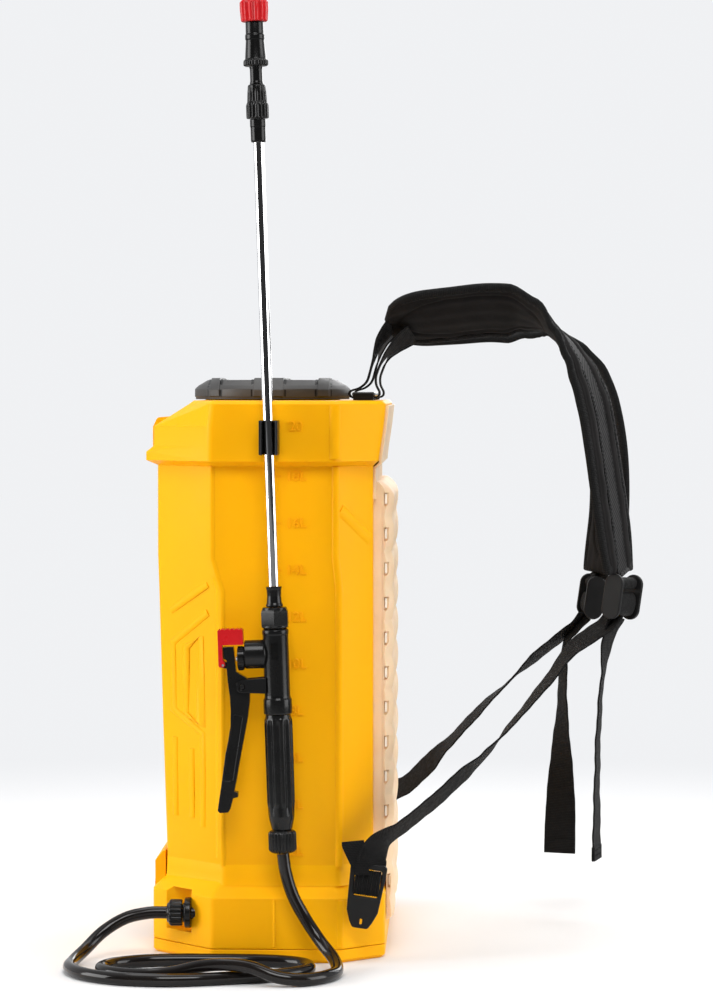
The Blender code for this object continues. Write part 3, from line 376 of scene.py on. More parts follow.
def add_loft(mesh, rings, caps=True, closed=False):
    """A skin over rings of equally many points, with coordinates in metres round and along it."""
    layer = mesh.loops.layers.uv.verify()
    rows = [[mesh.verts.new(point) for point in ring] for ring in rings]
    count = len(rows[0])
    around = [0.0]
    for i in range(count):
        around.append(around[-1] + (rows[0][i].co - rows[0][(i + 1) % count].co).length)
    along = [0.0]
    for lower, upper in zip(rows, rows[1:]):
        along.append(along[-1] + (upper[0].co - lower[0].co).length)
    pairs = [(k, k + 1) for k in range(len(rows) - 1)]
    if closed:
        pairs.append((len(rows) - 1, 0))
        along.append(along[-1])
    for k, m in pairs:
        for i in range(count):
            j = (i + 1) % count
            face = mesh.faces.new((rows[k][i], rows[k][j], rows[m][j], rows[m][i]))
            places = [(around[i], along[k]), (around[i + 1], along[k])]
            places += [(around[i + 1], along[k + 1]), (around[i], along[k + 1])]
            for loop, place in zip(face.loops, places):
                loop[layer].uv = place
    if caps and not closed:
        mesh.faces.new(rows[0][::-1])
        mesh.faces.new(rows[-1])
    return rows


def add_block(mesh, low, high, place=None):
    corners = [(low[0], low[1]), (high[0], low[1]), (high[0], high[1]), (low[0], high[1])]
    add_loft(mesh, placed([[Vector((x, y, z)) for x, y in corners] for z in (low[2], high[2])], place))


def soft_profile(profile, radius):
    """The profile's inner corners rounded off, each point being (radius, height, flute depth)."""
    points = [Vector((*p, 0.0)) if len(p) == 2 else Vector(p) for p in profile]
    result = [points[0]]
    for before, here, after in zip(points, points[1:], points[2:]):
        first = before - here
        second = after - here
        reach = min(radius, 0.45 * first.length, 0.45 * second.length)
        start = here + first.normalized() * reach
        end = here + second.normalized() * reach
        for k in range(4):
            t = k / 3
            result.append(start * (1 - t) ** 2 + here * 2 * t * (1 - t) + end * t * t)
    result.append(points[-1])
    return result


def add_turned(mesh, profile, place=None, flutes=0, steps=48, radius=0.0006, sharp=2.0, sides=0):
    """A profile turned about Z. Flutes press grooves into it, and `sides` makes it a prism."""
    count = flutes * 8 if flutes else steps
    rows = []
    for point in soft_profile(profile, radius) if radius else [Vector((*p, 0.0)[:3]) for p in profile]:
        reach, height, depth = point
        if reach < 1e-6:
            rows.append([Vector((0, 0, height))])
            continue
        ring = []
        for i in range(count):
            angle = 2 * math.pi * i / count
            groove = (0.5 - 0.5 * math.cos(flutes * angle)) ** sharp if flutes else 0.0
            here = reach - depth * groove
            if sides:
                part = (angle + math.pi / sides) % (2 * math.pi / sides) - math.pi / sides
                flat = reach * math.cos(math.pi / sides) / math.cos(part)
                here = min(here, max(flat, depth))
            ring.append(Vector((here * math.cos(angle), here * math.sin(angle), height)))
        rows.append(ring)
    made = [[mesh.verts.new(point) for point in row] for row in placed(rows, place)]
    pairs = list(zip(made, made[1:]))
    if len(made[0]) > 1:
        pairs.append((made[-1], made[0]))
    for lower, upper in pairs:
        for i in range(count):
            j = (i + 1) % count
            if len(lower) == 1:
                mesh.faces.new((lower[0], upper[j], upper[i]))
            elif len(upper) == 1:
                mesh.faces.new((lower[i], lower[j], upper[0]))
            else:
                mesh.faces.new((lower[i], lower[j], upper[j], upper[i]))


def rounded(corners, radius):
    """The outline with each corner replaced by an arc of four segments."""
    points = []
    count = len(corners)
    for i, corner in enumerate(corners):
        here = Vector(corner)
        before = (Vector(corners[i - 1]) - here).normalized()
        after = (Vector(corners[(i + 1) % count]) - here).normalized()
        half = before.angle(after) / 2
        centre = here + (before + after).normalized() * (radius / math.sin(half))
        start = here + before * radius / math.tan(half) - centre
        end = here + after * radius / math.tan(half) - centre
        sweep = start.angle(end)
        for k in range(5):
            part = k / 4
            mix = start * math.sin((1 - part) * sweep) + end * math.sin(part * sweep)
            points.append(centre + mix / math.sin(sweep))
    return points


def section(front, back, half, front_flat, back_flat, side_front, side_back, radius=0.008):
    """An eight-sided plan with rounded corners: flats at the front, the back and both sides."""
    corners = [
        (front, -front_flat), (side_front, -half), (side_back, -half), (back, -back_flat),
        (back, back_flat), (side_back, half), (side_front, half), (front, front_flat),
    ]
    return rounded(corners, radius)


def at_height(outline, z):
    return [Vector((x, y, z)) for x, y in outline]


def smooth_points(route, count):
    """`count` evenly spaced points of a Catmull-Rom curve through the route, of any dimension."""
    knots = [Vector(p) for p in route]
    knots = [2 * knots[0] - knots[1]] + knots + [2 * knots[-1] - knots[-2]]
    fine = []
    for a, b, c, d in zip(knots, knots[1:], knots[2:], knots[3:]):
        for k in range(12):
            t = k / 12
            cubic = (2 * a - 5 * b + 4 * c - d) * t * t + (3 * b - a - 3 * c + d) * t * t * t
            fine.append(0.5 * (2 * b + (c - a) * t + cubic))
    fine.append(knots[-2])
    along = [0.0]
    for p, q in zip(fine, fine[1:]):
        along.append(along[-1] + (q - p).length)
    result = []
    j = 0
    for k in range(count):
        target = along[-1] * k / (count - 1)
        while j < len(fine) - 2 and along[j + 1] < target:
            j += 1
        share = (target - along[j]) / (along[j + 1] - along[j])
        result.append(fine[j].lerp(fine[j + 1], min(share, 1.0)))
    return result


def length_of(points):
    return sum((q - p).length for p, q in zip(points, points[1:]))


def add_tube(mesh, points, radius, sides):
    """A round tube along the points, its rings carried along without twist."""
    rings = []
    side = None
    for i, point in enumerate(points):
        run = (points[min(i + 1, len(points) - 1)] - points[max(i - 1, 0)]).normalized()
        if side is None:
            side = run.orthogonal().normalized()
        side = (side - run * side.dot(run)).normalized()
        other = run.cross(side)
        ring = []
        for k in range(sides):
            angle = 2 * math.pi * k / sides
            ring.append(point + (side * math.cos(angle) + other * math.sin(angle)) * radius)
        rings.append(ring)
    add_loft(mesh, rings)


def temporary(mesh):
    data = bpy.data.meshes.new("temporary")
    bmesh.ops.recalc_face_normals(mesh, faces=mesh.faces)
    mesh.to_mesh(data)
    mesh.free()
    made = bpy.data.objects.new("temporary", data)
    bpy.context.scene.collection.objects.link(made)
    return made


def carve(mesh, *cutters, operation="DIFFERENCE"):
    """A new bmesh: the first with every cutter taken away, or joined on."""
    body = temporary(mesh)
    tools = [temporary(cutter) for cutter in cutters]
    for tool in tools:
        step = body.modifiers.new("step", "BOOLEAN")
        step.operation = operation
        step.solver = "EXACT"
        step.object = tool
    bpy.context.view_layer.update()
    graph = bpy.context.evaluated_depsgraph_get()
    result = bmesh.new()
    result.from_mesh(body.evaluated_get(graph).data)
    for made in [body, *tools]:
        data = made.data
        bpy.data.objects.remove(made)
        bpy.data.meshes.remove(data)
    return result


def add_joined(mesh, other):
    """Adds the second bmesh to the first."""
    data = bpy.data.meshes.new("temporary")
    other.to_mesh(data)
    other.free()
    mesh.from_mesh(data)
    bpy.data.meshes.remove(data)


def box_mesh(low, high, place=None):
    mesh = bmesh.new()
    add_block(mesh, low, high, place)
    return mesh


def loft_mesh(rings):
    mesh = bmesh.new()
    add_loft(mesh, rings)
    return mesh


def plate_mesh(outline, low, high, place=None):
    """An outline in X and Z, extruded along Y."""
    mesh = bmesh.new()
    add_loft(mesh, placed([[Vector((x, y, z)) for x, z in outline] for y in (low, high)], place))
    return mesh


def turned_mesh(*parts, **options):
    mesh = bmesh.new()
    add_turned(mesh, *parts, **options)
    return mesh


def bore(place, radius, low, high, steps=24):
    """A plain cylinder about the place's Z, to carve a hole with."""
    return turned_mesh([(0, low), (radius, low), (radius, high), (0, high)], place, steps=steps, radius=0)


def add_bead(mesh, points, outward, wide, high, inset=0.0006):
    """A raised rounded line on a surface: a soft low ridge swept along the points."""
    rings = []
    for i, point in enumerate(points):
        before = points[max(i - 1, 0)]
        after = points[min(i + 1, len(points) - 1)]
        across = (after - before).normalized().cross(outward).normalized()
        # A mitred corner keeps its width
        if 0 < i < len(points) - 1:
            across = across / max(0.5, across.dot((after - point).normalized().cross(outward).normalized()))
        ring = []
        for k in range(11):
            angle = math.pi * k / 10
            ring.append(point + across * math.cos(angle) * wide / 2 + outward * high * math.sin(angle) ** 1.6)
        ring.append(point - across * wide / 2 - outward * inset)
        ring.append(point + across * wide / 2 - outward * inset)
        rings.append(ring)
    add_loft(mesh, rings)


# ---------------------------------------------------------------- tank

BODY_PLANS = [
    (tank_low.z, -0.094, 0.084, 0.154, 0.100, 0.122, -0.040, 0.056),
    (tank_low.z + 0.004, -0.0956, 0.0862, 0.1570, 0.102, 0.124, -0.0415, 0.0575),
    (tank_low.z + 0.012, -0.097, 0.088, 0.160, 0.104, 0.126, -0.0430, 0.059),
    (0.200, -0.1006, 0.088, 0.160, 0.1045, 0.126, -0.0430, 0.059),
    (0.325, -0.104, 0.088, 0.160, 0.105, 0.126, -0.0430, 0.059),
    (0.355, -0.105, 0.088, 0.160, 0.105, 0.126, -0.0520, 0.056),
    (0.435, -0.105, 0.088, 0.160, 0.105, 0.126, -0.0520, 0.056),
    (0.4395, -0.115, 0.0930, COLLAR_HALF, 0.110, 0.140, -0.0540, 0.056),
    (0.447, -0.115, 0.0940, COLLAR_HALF, 0.110, 0.140, -0.0540, 0.056),
    (0.452, -0.1085, 0.0948, COLLAR_HALF, 0.110, 0.140, -0.0540, 0.056),
    (0.470, -0.1075, 0.0975, COLLAR_HALF, 0.110, 0.142, -0.0540, 0.056),
    (TANK_TOP - 0.003, -0.077, 0.0995, COLLAR_HALF, 0.100, 0.142, -0.0530, 0.056),
    (TANK_TOP, -0.073, 0.0970, COLLAR_HALF - 0.003, 0.098, 0.140, -0.0510, 0.054),
]
ROOM_PLANS = [
    (tank_low.z + WALL, -0.088, 0.078, 0.148, 0.098, 0.118, -0.040, 0.053),
    (tank_low.z + 0.016, -0.094, 0.085, 0.157, 0.102, 0.124, -0.0410, 0.057),
    (0.325, -0.101, 0.085, 0.157, 0.103, 0.124, -0.0410, 0.057),
    (0.355, -0.102, 0.085, 0.157, 0.103, 0.124, -0.0500, 0.054),
    (0.437, -0.102, 0.085, 0.157, 0.103, 0.124, -0.0500, 0.054),
    (0.445, -0.105, 0.0905, 0.169, 0.108, 0.137, -0.0520, 0.054),
    (0.469, -0.1035, 0.0940, 0.169, 0.108, 0.139, -0.0520, 0.054),
    (TANK_TOP - WALL, -0.074, 0.0955, 0.168, 0.098, 0.138, -0.0510, 0.054),
]


def plan_at(z):
    """The body's plan at this height, on straight lines between the plans."""
    for lower, upper in zip(BODY_PLANS, BODY_PLANS[1:]):
        if z <= upper[0]:
            share = (z - lower[0]) / (upper[0] - lower[0])
            return [a + (b - a) * share for a, b in zip(lower[1:], upper[1:])]
    return list(BODY_PLANS[-1][1:])


def on_front_facet(x, z, side):
    """The point of the slanting front facet at this x and z, and the facet's outward direction."""
    front, _, half, front_flat, _, side_front, _ = plan_at(z)
    y = front_flat + (half - front_flat) * (x - front) / (side_front - front)
    outward = Vector((-(half - front_flat), side * (side_front - front), 0)).normalized()
    return Vector((x, side * y, z)), outward


def on_rear_facet(x, z, side):
    _, back, half, _, back_flat, _, side_back = plan_at(z)
    y = half - (half - back_flat) * (x - side_back) / (back - side_back)
    outward = Vector((half - back_flat, side * (back - side_back), 0)).normalized()
    return Vector((x, side * y, z)), outward


FACET_LINES = [
    [(-0.0923, 0.3058), (-0.0571, 0.3313)],
    [(-0.0571, 0.3058), (-0.0906, 0.2776), (-0.0906, 0.2178), (-0.0624, 0.1984), (-0.0624, 0.1157)],
    [(-0.0782, 0.2151), (-0.0782, 0.2740), (-0.0642, 0.2838), (-0.0642, 0.2060), (-0.0782, 0.2151)],
    [(-0.0888, 0.1931), (-0.0888, 0.1227)], [(-0.0730, 0.1840), (-0.0730, 0.1227)],
]
GRIP_OUTLINE = [(-0.0800, 0.4785), (-0.1060, 0.4775), (-0.1100, 0.4690), (-0.1100, 0.4460), (-0.0800, 0.4460)]
REAR_BAND = [(0.0602, 0.3968), (0.0855, 0.3697)]
LEVEL_X = 0.0215
LEVEL_TOP = 0.4263
LEVEL_STEP = 0.0412


def numeral(words, size, place, depth):
    """Raised lettering as a closed mesh, standing `depth` proud of the plane at `place`."""
    text = bpy.data.curves.new("numeral", "FONT")
    text.body = words
    text.size = size
    text.extrude = depth
    text.bevel_depth = depth * 0.3
    text.align_x = "CENTER"
    text.align_y = "CENTER"
    made = bpy.data.objects.new("numeral", text)
    bpy.context.scene.collection.objects.link(made)
    bpy.context.view_layer.update()
    graph = bpy.context.evaluated_depsgraph_get()
    data = bpy.data.meshes.new_from_object(made.evaluated_get(graph))
    data.transform(place)
    bpy.data.objects.remove(made)
    return data


def tank():
    skin = loft_mesh([at_height(section(*plan), z) for z, *plan in BODY_PLANS])
    neck_profile = [(0, TANK_TOP - 0.002), (NECK_RADIUS, TANK_TOP - 0.002), (NECK_RADIUS, 0.503), (0, 0.503)]
    at_mouth = Matrix.Translation((MOUTH_X, 0, 0))
    neck = turned_mesh(neck_profile, at_mouth, steps=64)
    room = loft_mesh([at_height(section(*plan), z) for z, *plan in ROOM_PLANS])
    mouth = [
        (0, TANK_TOP - 0.010), (MOUTH_RADIUS, TANK_TOP - 0.010), (MOUTH_RADIUS, 0.5002),
        (0.0596, 0.5002), (0.0596, 0.508), (0, 0.508),
    ]
    grip = rounded(GRIP_OUTLINE, 0.0035)
    shell = carve(skin, neck, plate_mesh(grip, -0.096, 0.096), operation="UNION")
    shell = carve(shell, room, turned_mesh(mouth, at_mouth, steps=64, radius=0))
    piece("tank_skin", shell, YELLOW, "tank", ["tank_shell"], smooth=30, bevel=0.0018, segments=3)

    relief = bmesh.new()
    for side in (-1, 1):
        for line in FACET_LINES:
            spots = [on_front_facet(x, z, side) for x, z in line]
            add_bead(relief, [point for point, _ in spots], spots[0][1], 0.0068, 0.0010)
        spots = [on_rear_facet(x, z, side) for x, z in REAR_BAND]
        add_bead(relief, [point for point, _ in spots], spots[0][1], 0.0110, 0.0012)
        # The long ribs on both edges of the side, which step sideways at the shoulder
        for near_edge, wide, high in ((6, 0.0070, 0.0018), (5, 0.0048, 0.0009)):
            points = []
            for z in (0.0835, 0.200, 0.325, 0.332, 0.348, 0.355, 0.4345):
                plan = plan_at(z)
                points.append(Vector((plan[near_edge], side * (plan[2] - 0.0004), z)))
            add_bead(relief, points, Vector((0, side, 0)), wide, high, inset=0.002)
        points = [Vector((0.0560, side * COLLAR_HALF, z)) for z in (0.4420, 0.4885)]
        add_bead(relief, points, Vector((0, side, 0)), 0.0100, 0.0020)
        # The band along the front facet's rear edge, pointed at its top
        placed = [on_front_facet(plan_at(z)[5] - 0.0036, z, side) for z in (0.3380, 0.3250, 0.2000, 0.0900)]
        add_bead(relief, [point for point, _ in placed], placed[0][1], 0.0085, 0.0013)
    piece("tank_relief", relief, YELLOW, "tank", smooth=60)

    marks = bmesh.new()
    heights = [(20, 0.4700)] + [(18 - 2 * i, LEVEL_TOP - LEVEL_STEP * i) for i in range(9)]
    for level, z in heights:
        half = COLLAR_HALF if z > 0.44 else 0.160
        upright = Matrix.Rotation(math.radians(90), 4, "X")
        for side in (-1, 1):
            turn = Matrix.Rotation(math.radians(180 if side > 0 else 0), 4, "Z")
            place = Matrix.Translation((LEVEL_X, side * half, z)) @ turn @ upright
            data = numeral(f"{level}" if level == 20 else f"{level}L", 0.0120, place, 0.0007)
            marks.from_mesh(data)
            bpy.data.meshes.remove(data)
            low, high = sorted((side * (half - 0.0005), side * (half + 0.0006)))
            start = LEVEL_X - 0.0130
            add_block(marks, (start - 0.0045, low, z - 0.0007), (start, high, z + 0.0007))
    # The marks' deeper orange is painted shade of their raised edges
    piece("level_marks", marks, MARK, "tank", smooth=30)


# ---------------------------------------------------------------- base


def base_plan(inset):
    half = base_high.y - inset
    front = -0.109 + inset
    back = base_high.x - inset
    slope = inset / 2
    return section(front, back, half, 0.112 - slope, 0.138 - slope, -0.0525 + slope, 0.06 - slope)


FOOT_LEVELS = [(0.0665, 0.0016), (0.0690, 0.0008), (0.0760, 0.0004), (0.0840, 0.0003), (0.0860, -0.0004)]


def foot_plan(out):
    """The tank's plan just above its foot, this much wider all round."""
    slope = out / 2
    growth = (-out, out, out, slope, slope, -slope, slope)
    return section(*[value + more for value, more in zip(plan_at(tank_low.z + 0.012), growth)])


def base_mesh(*levels):
    """The base's plan lofted through levels of (height, inset)."""
    return loft_mesh([at_height(base_plan(inset), z) for z, inset in levels])


def base():
    bottom = base_low.z
    housing = base_mesh((bottom, 0.0006), (bottom + 0.0008, 0), (0.057, 0), (0.067, 0.0115), (0.0699, 0.0140))
    lip = [(-0.1085, 0.0480), (-0.0990, 0.0480), (-0.0990, 0.0885), (-0.1015, 0.0885), (-0.1085, 0.0800)]
    housing = carve(housing, plate_mesh(lip, -0.098, 0.098), operation="UNION")
    niche = bmesh.new()
    floor = rounded([(-0.140, -0.200), (-0.0715, -0.200), (-0.0715, -0.126), (-0.140, -0.126)], 0.004)
    add_loft(niche, [at_height(floor, z) for z in (0.0235, 0.0605)])
    room = base_mesh((0.0, WALL), (0.056, WALL), (0.0669, 0.0145))
    guard = box_mesh((-0.143, -0.203, 0.0205), (-0.0685, -0.123, 0.0635))
    room = carve(room, guard)
    window = box_mesh((-0.13, -0.040, 0.029), (-0.100, 0.040, 0.055))
    housing = carve(housing, niche, room, window)
    piece("base_skin", housing, YELLOW, "tank", ["base_housing"], smooth=30, bevel=0.0016, segments=3)
    tray = carve(base_mesh((0, 0.003), (0.003, 0), (tray_high.z, 0)), base_mesh((0.006, WALL), (0.02, WALL)))
    sinks = bmesh.new()
    sink = [(0, -0.01), (0.0056, -0.01), (0.0056, 0.0034), (0.0028, 0.0034), (0.0028, 0.02), (0, 0.02)]
    for x in (-0.060, 0.060):
        for y in (-0.105, 0.105):
            add_turned(sinks, sink, Matrix.Translation((x, y, 0)), steps=24, radius=0)
    tray = carve(tray, sinks)
    piece("base_floor", tray, YELLOW, "tank", ["base_tray"], smooth=30, bevel=0.0008)
    # The soft rim where the tank's foot meets the deck
    rim = loft_mesh([at_height(foot_plan(out), z) for z, out in FOOT_LEVELS])
    rim = carve(rim, loft_mesh([at_height(foot_plan(-0.0015), z) for z in (0.060, 0.090)]))
    piece("base_rim", rim, YELLOW, "tank", smooth=40)
    trim = bmesh.new()
    for side in (-1, 1):
        points = [Vector((0.0026, side * base_high.y, z)) for z in (0.0145, 0.0560)]
        add_bead(trim, points, Vector((0, side, 0)), 0.0024, 0.0009)
        points = [Vector((0.0600, side * (base_high.y - 0.0006), z)) for z in (0.0145, 0.0555)]
        add_bead(trim, points, Vector((0, side, 0)), 0.0060, 0.0012, inset=0.002)
    piece("base_trim", trim, YELLOW, "tank", smooth=60)


# ---------------------------------------------------------------- lid, clip, anchor and back rest


LID_BANDS = [(-0.0500, 0.0046), (0.0, 0.0135), (0.0490, 0.0050)]
# How far the black strip reaches past each lid band: painted shade of the groove beside it
GROOVE_SHADE_WIDTH = 0.0024


def lid_height(reach, radius, top):
    """The lid's upper surface at this distance from its middle: flat, then chamfered, then the skirt."""
    if reach < radius - 0.0120:
        return top
    if reach < radius:
        return top - 0.0082 * ((reach - radius + 0.0120) / 0.0120) ** 1.15
    return lid_low.z


def add_lid_band(mesh, x, half, radius, top, proud):
    """A band of this half width lying over the lid's top and down both sides, parallel to Y."""
    reach = math.sqrt(radius**2 - (abs(x) + half) ** 2)
    foot = lid_low.z + 0.0026
    shoulder = top - 0.0090
    rings = []
    for edge in (-half, half):
        out = math.sqrt(radius**2 - (x + edge) ** 2)
        line = []
        for k in range(25):
            y = out - 2 * out * k / 24
            line.append((y, lid_height(min(math.hypot(x + edge, y), radius - 1e-5), radius, top) + proud))
        line[0] = (out + proud, shoulder)
        line[-1] = (-out - proud, shoulder)
        line += [(-out - proud, foot), (-reach + 0.004, foot), (reach - 0.004, foot), (out + proud, foot)]
        rings.append([Vector((MOUTH_X + x + edge, y, z)) for y, z in line])
    add_loft(mesh, rings)


def lid():
    radius = (lid_high.x - lid_low.x) / 2 - 0.0008
    top = lid_high.z - 0.0018
    at_mouth = Matrix.Translation((MOUTH_X, 0, 0))
    profile = [
        (0, top), (0.0200, top), (radius - 0.0120, top - 0.0002), (radius - 0.0035, top - 0.0052),
        (radius, top - 0.0085), (radius, lid_low.z + 0.0022), (radius - 0.0008, lid_low.z + 0.0020),
        (radius - 0.0008, lid_low.z), (0.0648, lid_low.z), (0.0648, 0.5054), (0, 0.5054),
    ]
    turned("lid_cap", profile, CHARCOAL, "lid", ["lid"], place=at_mouth, smooth=40, steps=128)
    bands = bmesh.new()
    groove_shade = bmesh.new()
    for x, half in LID_BANDS:
        add_lid_band(bands, x, half, radius, top, 0.0017)
        # A slightly wider black strip just proud of the lid under each band: painted shade of the grooves beside
        # the band
        add_lid_band(groove_shade, x, half + GROOVE_SHADE_WIDTH, radius, top, 0.0003)
    piece("lid_bands", bands, CHARCOAL, "lid", smooth=40, bevel=0.0007, segments=3)
    piece("lid_groove_shade", groove_shade, SATIN, "lid", smooth=40)


def lance_clip():
    low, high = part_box("lance_clip")
    middle = (low.x + high.x) / 2
    back = high.y
    outline = [
        (-0.0086, back), (-0.0086, back - 0.0040), (-0.0080, back - 0.0060), (-0.0078, back - 0.0200),
        (-0.0084, back - 0.0230), (-0.0068, back - 0.0230), (-0.0052, back - 0.0205),
        (-0.0056, back - 0.0190), (-0.0056, back - 0.0100), (-0.0040, back - 0.0075),
        (0.0, back - 0.0066),
    ]
    outline += [(-x, y) for x, y in outline[-2::-1]]
    mesh = loft_mesh([at_height([(middle + x, y) for x, y in outline], z) for z in (low.z, high.z)])
    piece("lance_holder", mesh, BLACK, "tank", ["lance_clip"], bevel=0.0007, segments=3)


REST_PLATE = [
    (0.0904, 0.4050), (0.0904, 0.4325), (0.0955, 0.4365), (0.0966, 0.4470), (0.0974, 0.4520),
    (0.1001, 0.4700), (0.1021, 0.4880), (0.0993, 0.4880), (0.0973, 0.4700), (0.0946, 0.4520),
    (0.0938, 0.4470), (0.0928, 0.4376), (0.0878, 0.4335), (0.0878, 0.4050),
]


RIB_PITCH = 0.0309
RIBS = 12


def back_rest():
    """A ribbed, hollow-channelled pad with its outer edge scalloped and a valley down the spine."""
    low, high = 0.030, rest_high.z
    half = rest_high.y
    columns = 28
    rows = []
    count = 120
    for i in range(count + 1):
        z = low + (high - low) * i / count
        wave = abs(math.sin(math.pi * (high - z) / RIB_PITCH))
        front = 0.0996 if z < 0.071 else 0.0878
        crest = 0.1036 + 0.0026 * wave**0.6
        drop = max(0.0, z - high + 0.014) / 0.014
        crest -= 0.0075 * drop**2
        if i == 0:
            crest = 0.1020
        ring = [Vector((front, -half, z))]
        for k in range(columns + 1):
            y = -half + 2 * half * k / columns
            edge = min(1.0, (half - abs(y)) / 0.010)
            rounding = math.sqrt(max(0.0, 1 - (1 - edge) ** 2))
            valley = 0.0022 * math.exp(-((y / 0.020) ** 2))
            grooves = 0.0010 * math.exp(-(((abs(y) - 0.062) / 0.003) ** 2))
            reach = (crest - valley - grooves - front) * (0.62 + 0.38 * rounding)
            ring.append(Vector((front + reach, y, z)))
        ring.append(Vector((front, half, z)))
        rows.append(ring)
    slots = bmesh.new()
    slot_highlights = bmesh.new()
    for i in range(RIBS):
        z = high - RIB_PITCH * (i + 0.5)
        front, back = (0.0972, 0.1018) if z > 0.075 else (0.1006, 0.1030)
        for side in (-1, 1):
            near, far = sorted((side * (half - 0.0040), side * (half + 0.01)))
            outline = [(front, z - 0.0062), (front + 0.0026, z - 0.0062), (back, z - 0.0030)]
            outline += [(back, z + 0.0062), (front, z + 0.0062)]
            slot = plate_mesh(outline, near, far)
            add_joined(slots, slot)
            # A pale tab in each slot: painted highlight of the light seen through it
            near, far = sorted((side * (half - 0.0042), side * (half - 0.0016)))
            add_block(slot_highlights, (front + 0.0008, near, z - 0.0040), (front + 0.0026, far, z + 0.0050))
    for side in (-1, 1):
        near, far = sorted((side * (half - 0.0008), side * (half + 0.01)))
        add_block(slots, (0.0958, near, 0.074), (0.0964, far, high - 0.022))
    mesh = carve(loft_mesh(rows), slots)
    made = piece("rest_pad", mesh, REST, "tank", ["back_rest"], smooth=50)
    piece("rest_slot_highlights", slot_highlights, SLOT_HIGHLIGHT, "tank", bevel=0.0006)
    plate = plate_mesh(REST_PLATE, -0.122, 0.122)
    piece("rest_plate", plate, REST, "tank", smooth=30, bevel=0.0005)


# ---------------------------------------------------------------- lance and spray gun, along the gun's own Z


def along_y(x, z):
    return GUN @ Matrix.Translation((x, 0, z)) @ Matrix.Rotation(math.radians(90), 4, "X")


def nozzle():
    profile = [
        (0, 0.7200), (0.0110, 0.7200, 0.0010), (0.0116, 0.7210, 0.0014), (0.0123, 0.7300, 0.0014),
        (0.0123, 0.7368, 0.0016), (0.0112, 0.7380, 0.0020), (0.0098, 0.7396, 0.0008), (0.0052, 0.7396),
        (0.0040, 0.7384), (0.0016, 0.7380), (0.0012, 0.7350), (0, 0.7350),
    ]
    turned("nozzle_tip", profile, RED, "nozzle_cap", ["nozzle_cap"], smooth=50, flutes=14, sharp=1.6)

    profile = [
        (0, 0.6817), (0.0096, 0.6817, 0.0), (0.0108, 0.6826, 0.0006), (0.0108, 0.6862, 0.0006),
        (0.0098, 0.6872, 0.0), (0.0092, 0.6880), (0.0086, 0.6960), (0.0080, 0.7040), (0.0085, 0.7050),
        (0.0085, 0.7085), (0.0079, 0.7095), (0.0078, 0.7196), (0, 0.7196),
    ]
    turned("nozzle_barrel", profile, BLACK, "gun", ["nozzle_body"], smooth=45, flutes=28, sharp=1.0)

    profile = [
        (0, 0.6662), (0.0060, 0.6662), (0.0054, 0.6690), (0.0054, 0.6790), (0.0060, 0.6813), (0, 0.6813),
    ]
    turned("nozzle_stem", profile, BLACK, "gun", ["nozzle_neck"])

    profile = [
        (0, 0.6367), (0.0094, 0.6367, 0.0), (0.0098, 0.6378, 0.0010), (0.0098, 0.6480, 0.0010),
        (0.0090, 0.6500, 0.0002), (0.0086, 0.6510, 0.0008), (0.0082, 0.6590, 0.0008),
        (0.0076, 0.6650, 0.0), (0.0070, 0.6658), (0, 0.6658),
    ]
    turned("nozzle_collar_nut", profile, BLACK, "nozzle_nut", ["nozzle_nut"], smooth=45, flutes=16, sharp=1.5)

    profile = [
        (0, 0.6163), (0.0062, 0.6163), (0.0066, 0.6180), (0.0066, 0.6290), (0.0069, 0.6300),
        (0.0069, 0.6355), (0.0064, 0.6363), (0, 0.6363),
    ]
    turned("lance_sleeve", profile, BLACK, "gun", ["lance_collar"])

    profile = [(0.0046, 0.2322), (0.0046, 0.6159), (0.0038, 0.6159), (0.0038, 0.2322)]
    turned("lance_pipe", profile, CHROME, "gun", ["lance_tube"], smooth=40, radius=0, steps=64)


VALVE_STATIONS = [
    (-0.0335, 0.1705, 0.0093), (-0.0330, 0.1705, 0.0100), (-0.0280, 0.1705, 0.0100),
    (-0.0273, 0.1705, 0.0093), (-0.0272, 0.1735, 0.0112), (-0.0264, 0.1735, 0.0125),
    (-0.0110, 0.1735, 0.0125), (-0.0095, 0.1735, 0.0118), (-0.0080, 0.1735, 0.0098),
    (-0.0040, 0.1735, 0.0090),
]
EAR_OUTLINE = [
    (-0.0348, 0.1430), (-0.0320, 0.1408), (-0.0090, 0.1395), (-0.0090, 0.1535), (-0.0300, 0.1522),
    (-0.0348, 0.1500),
]


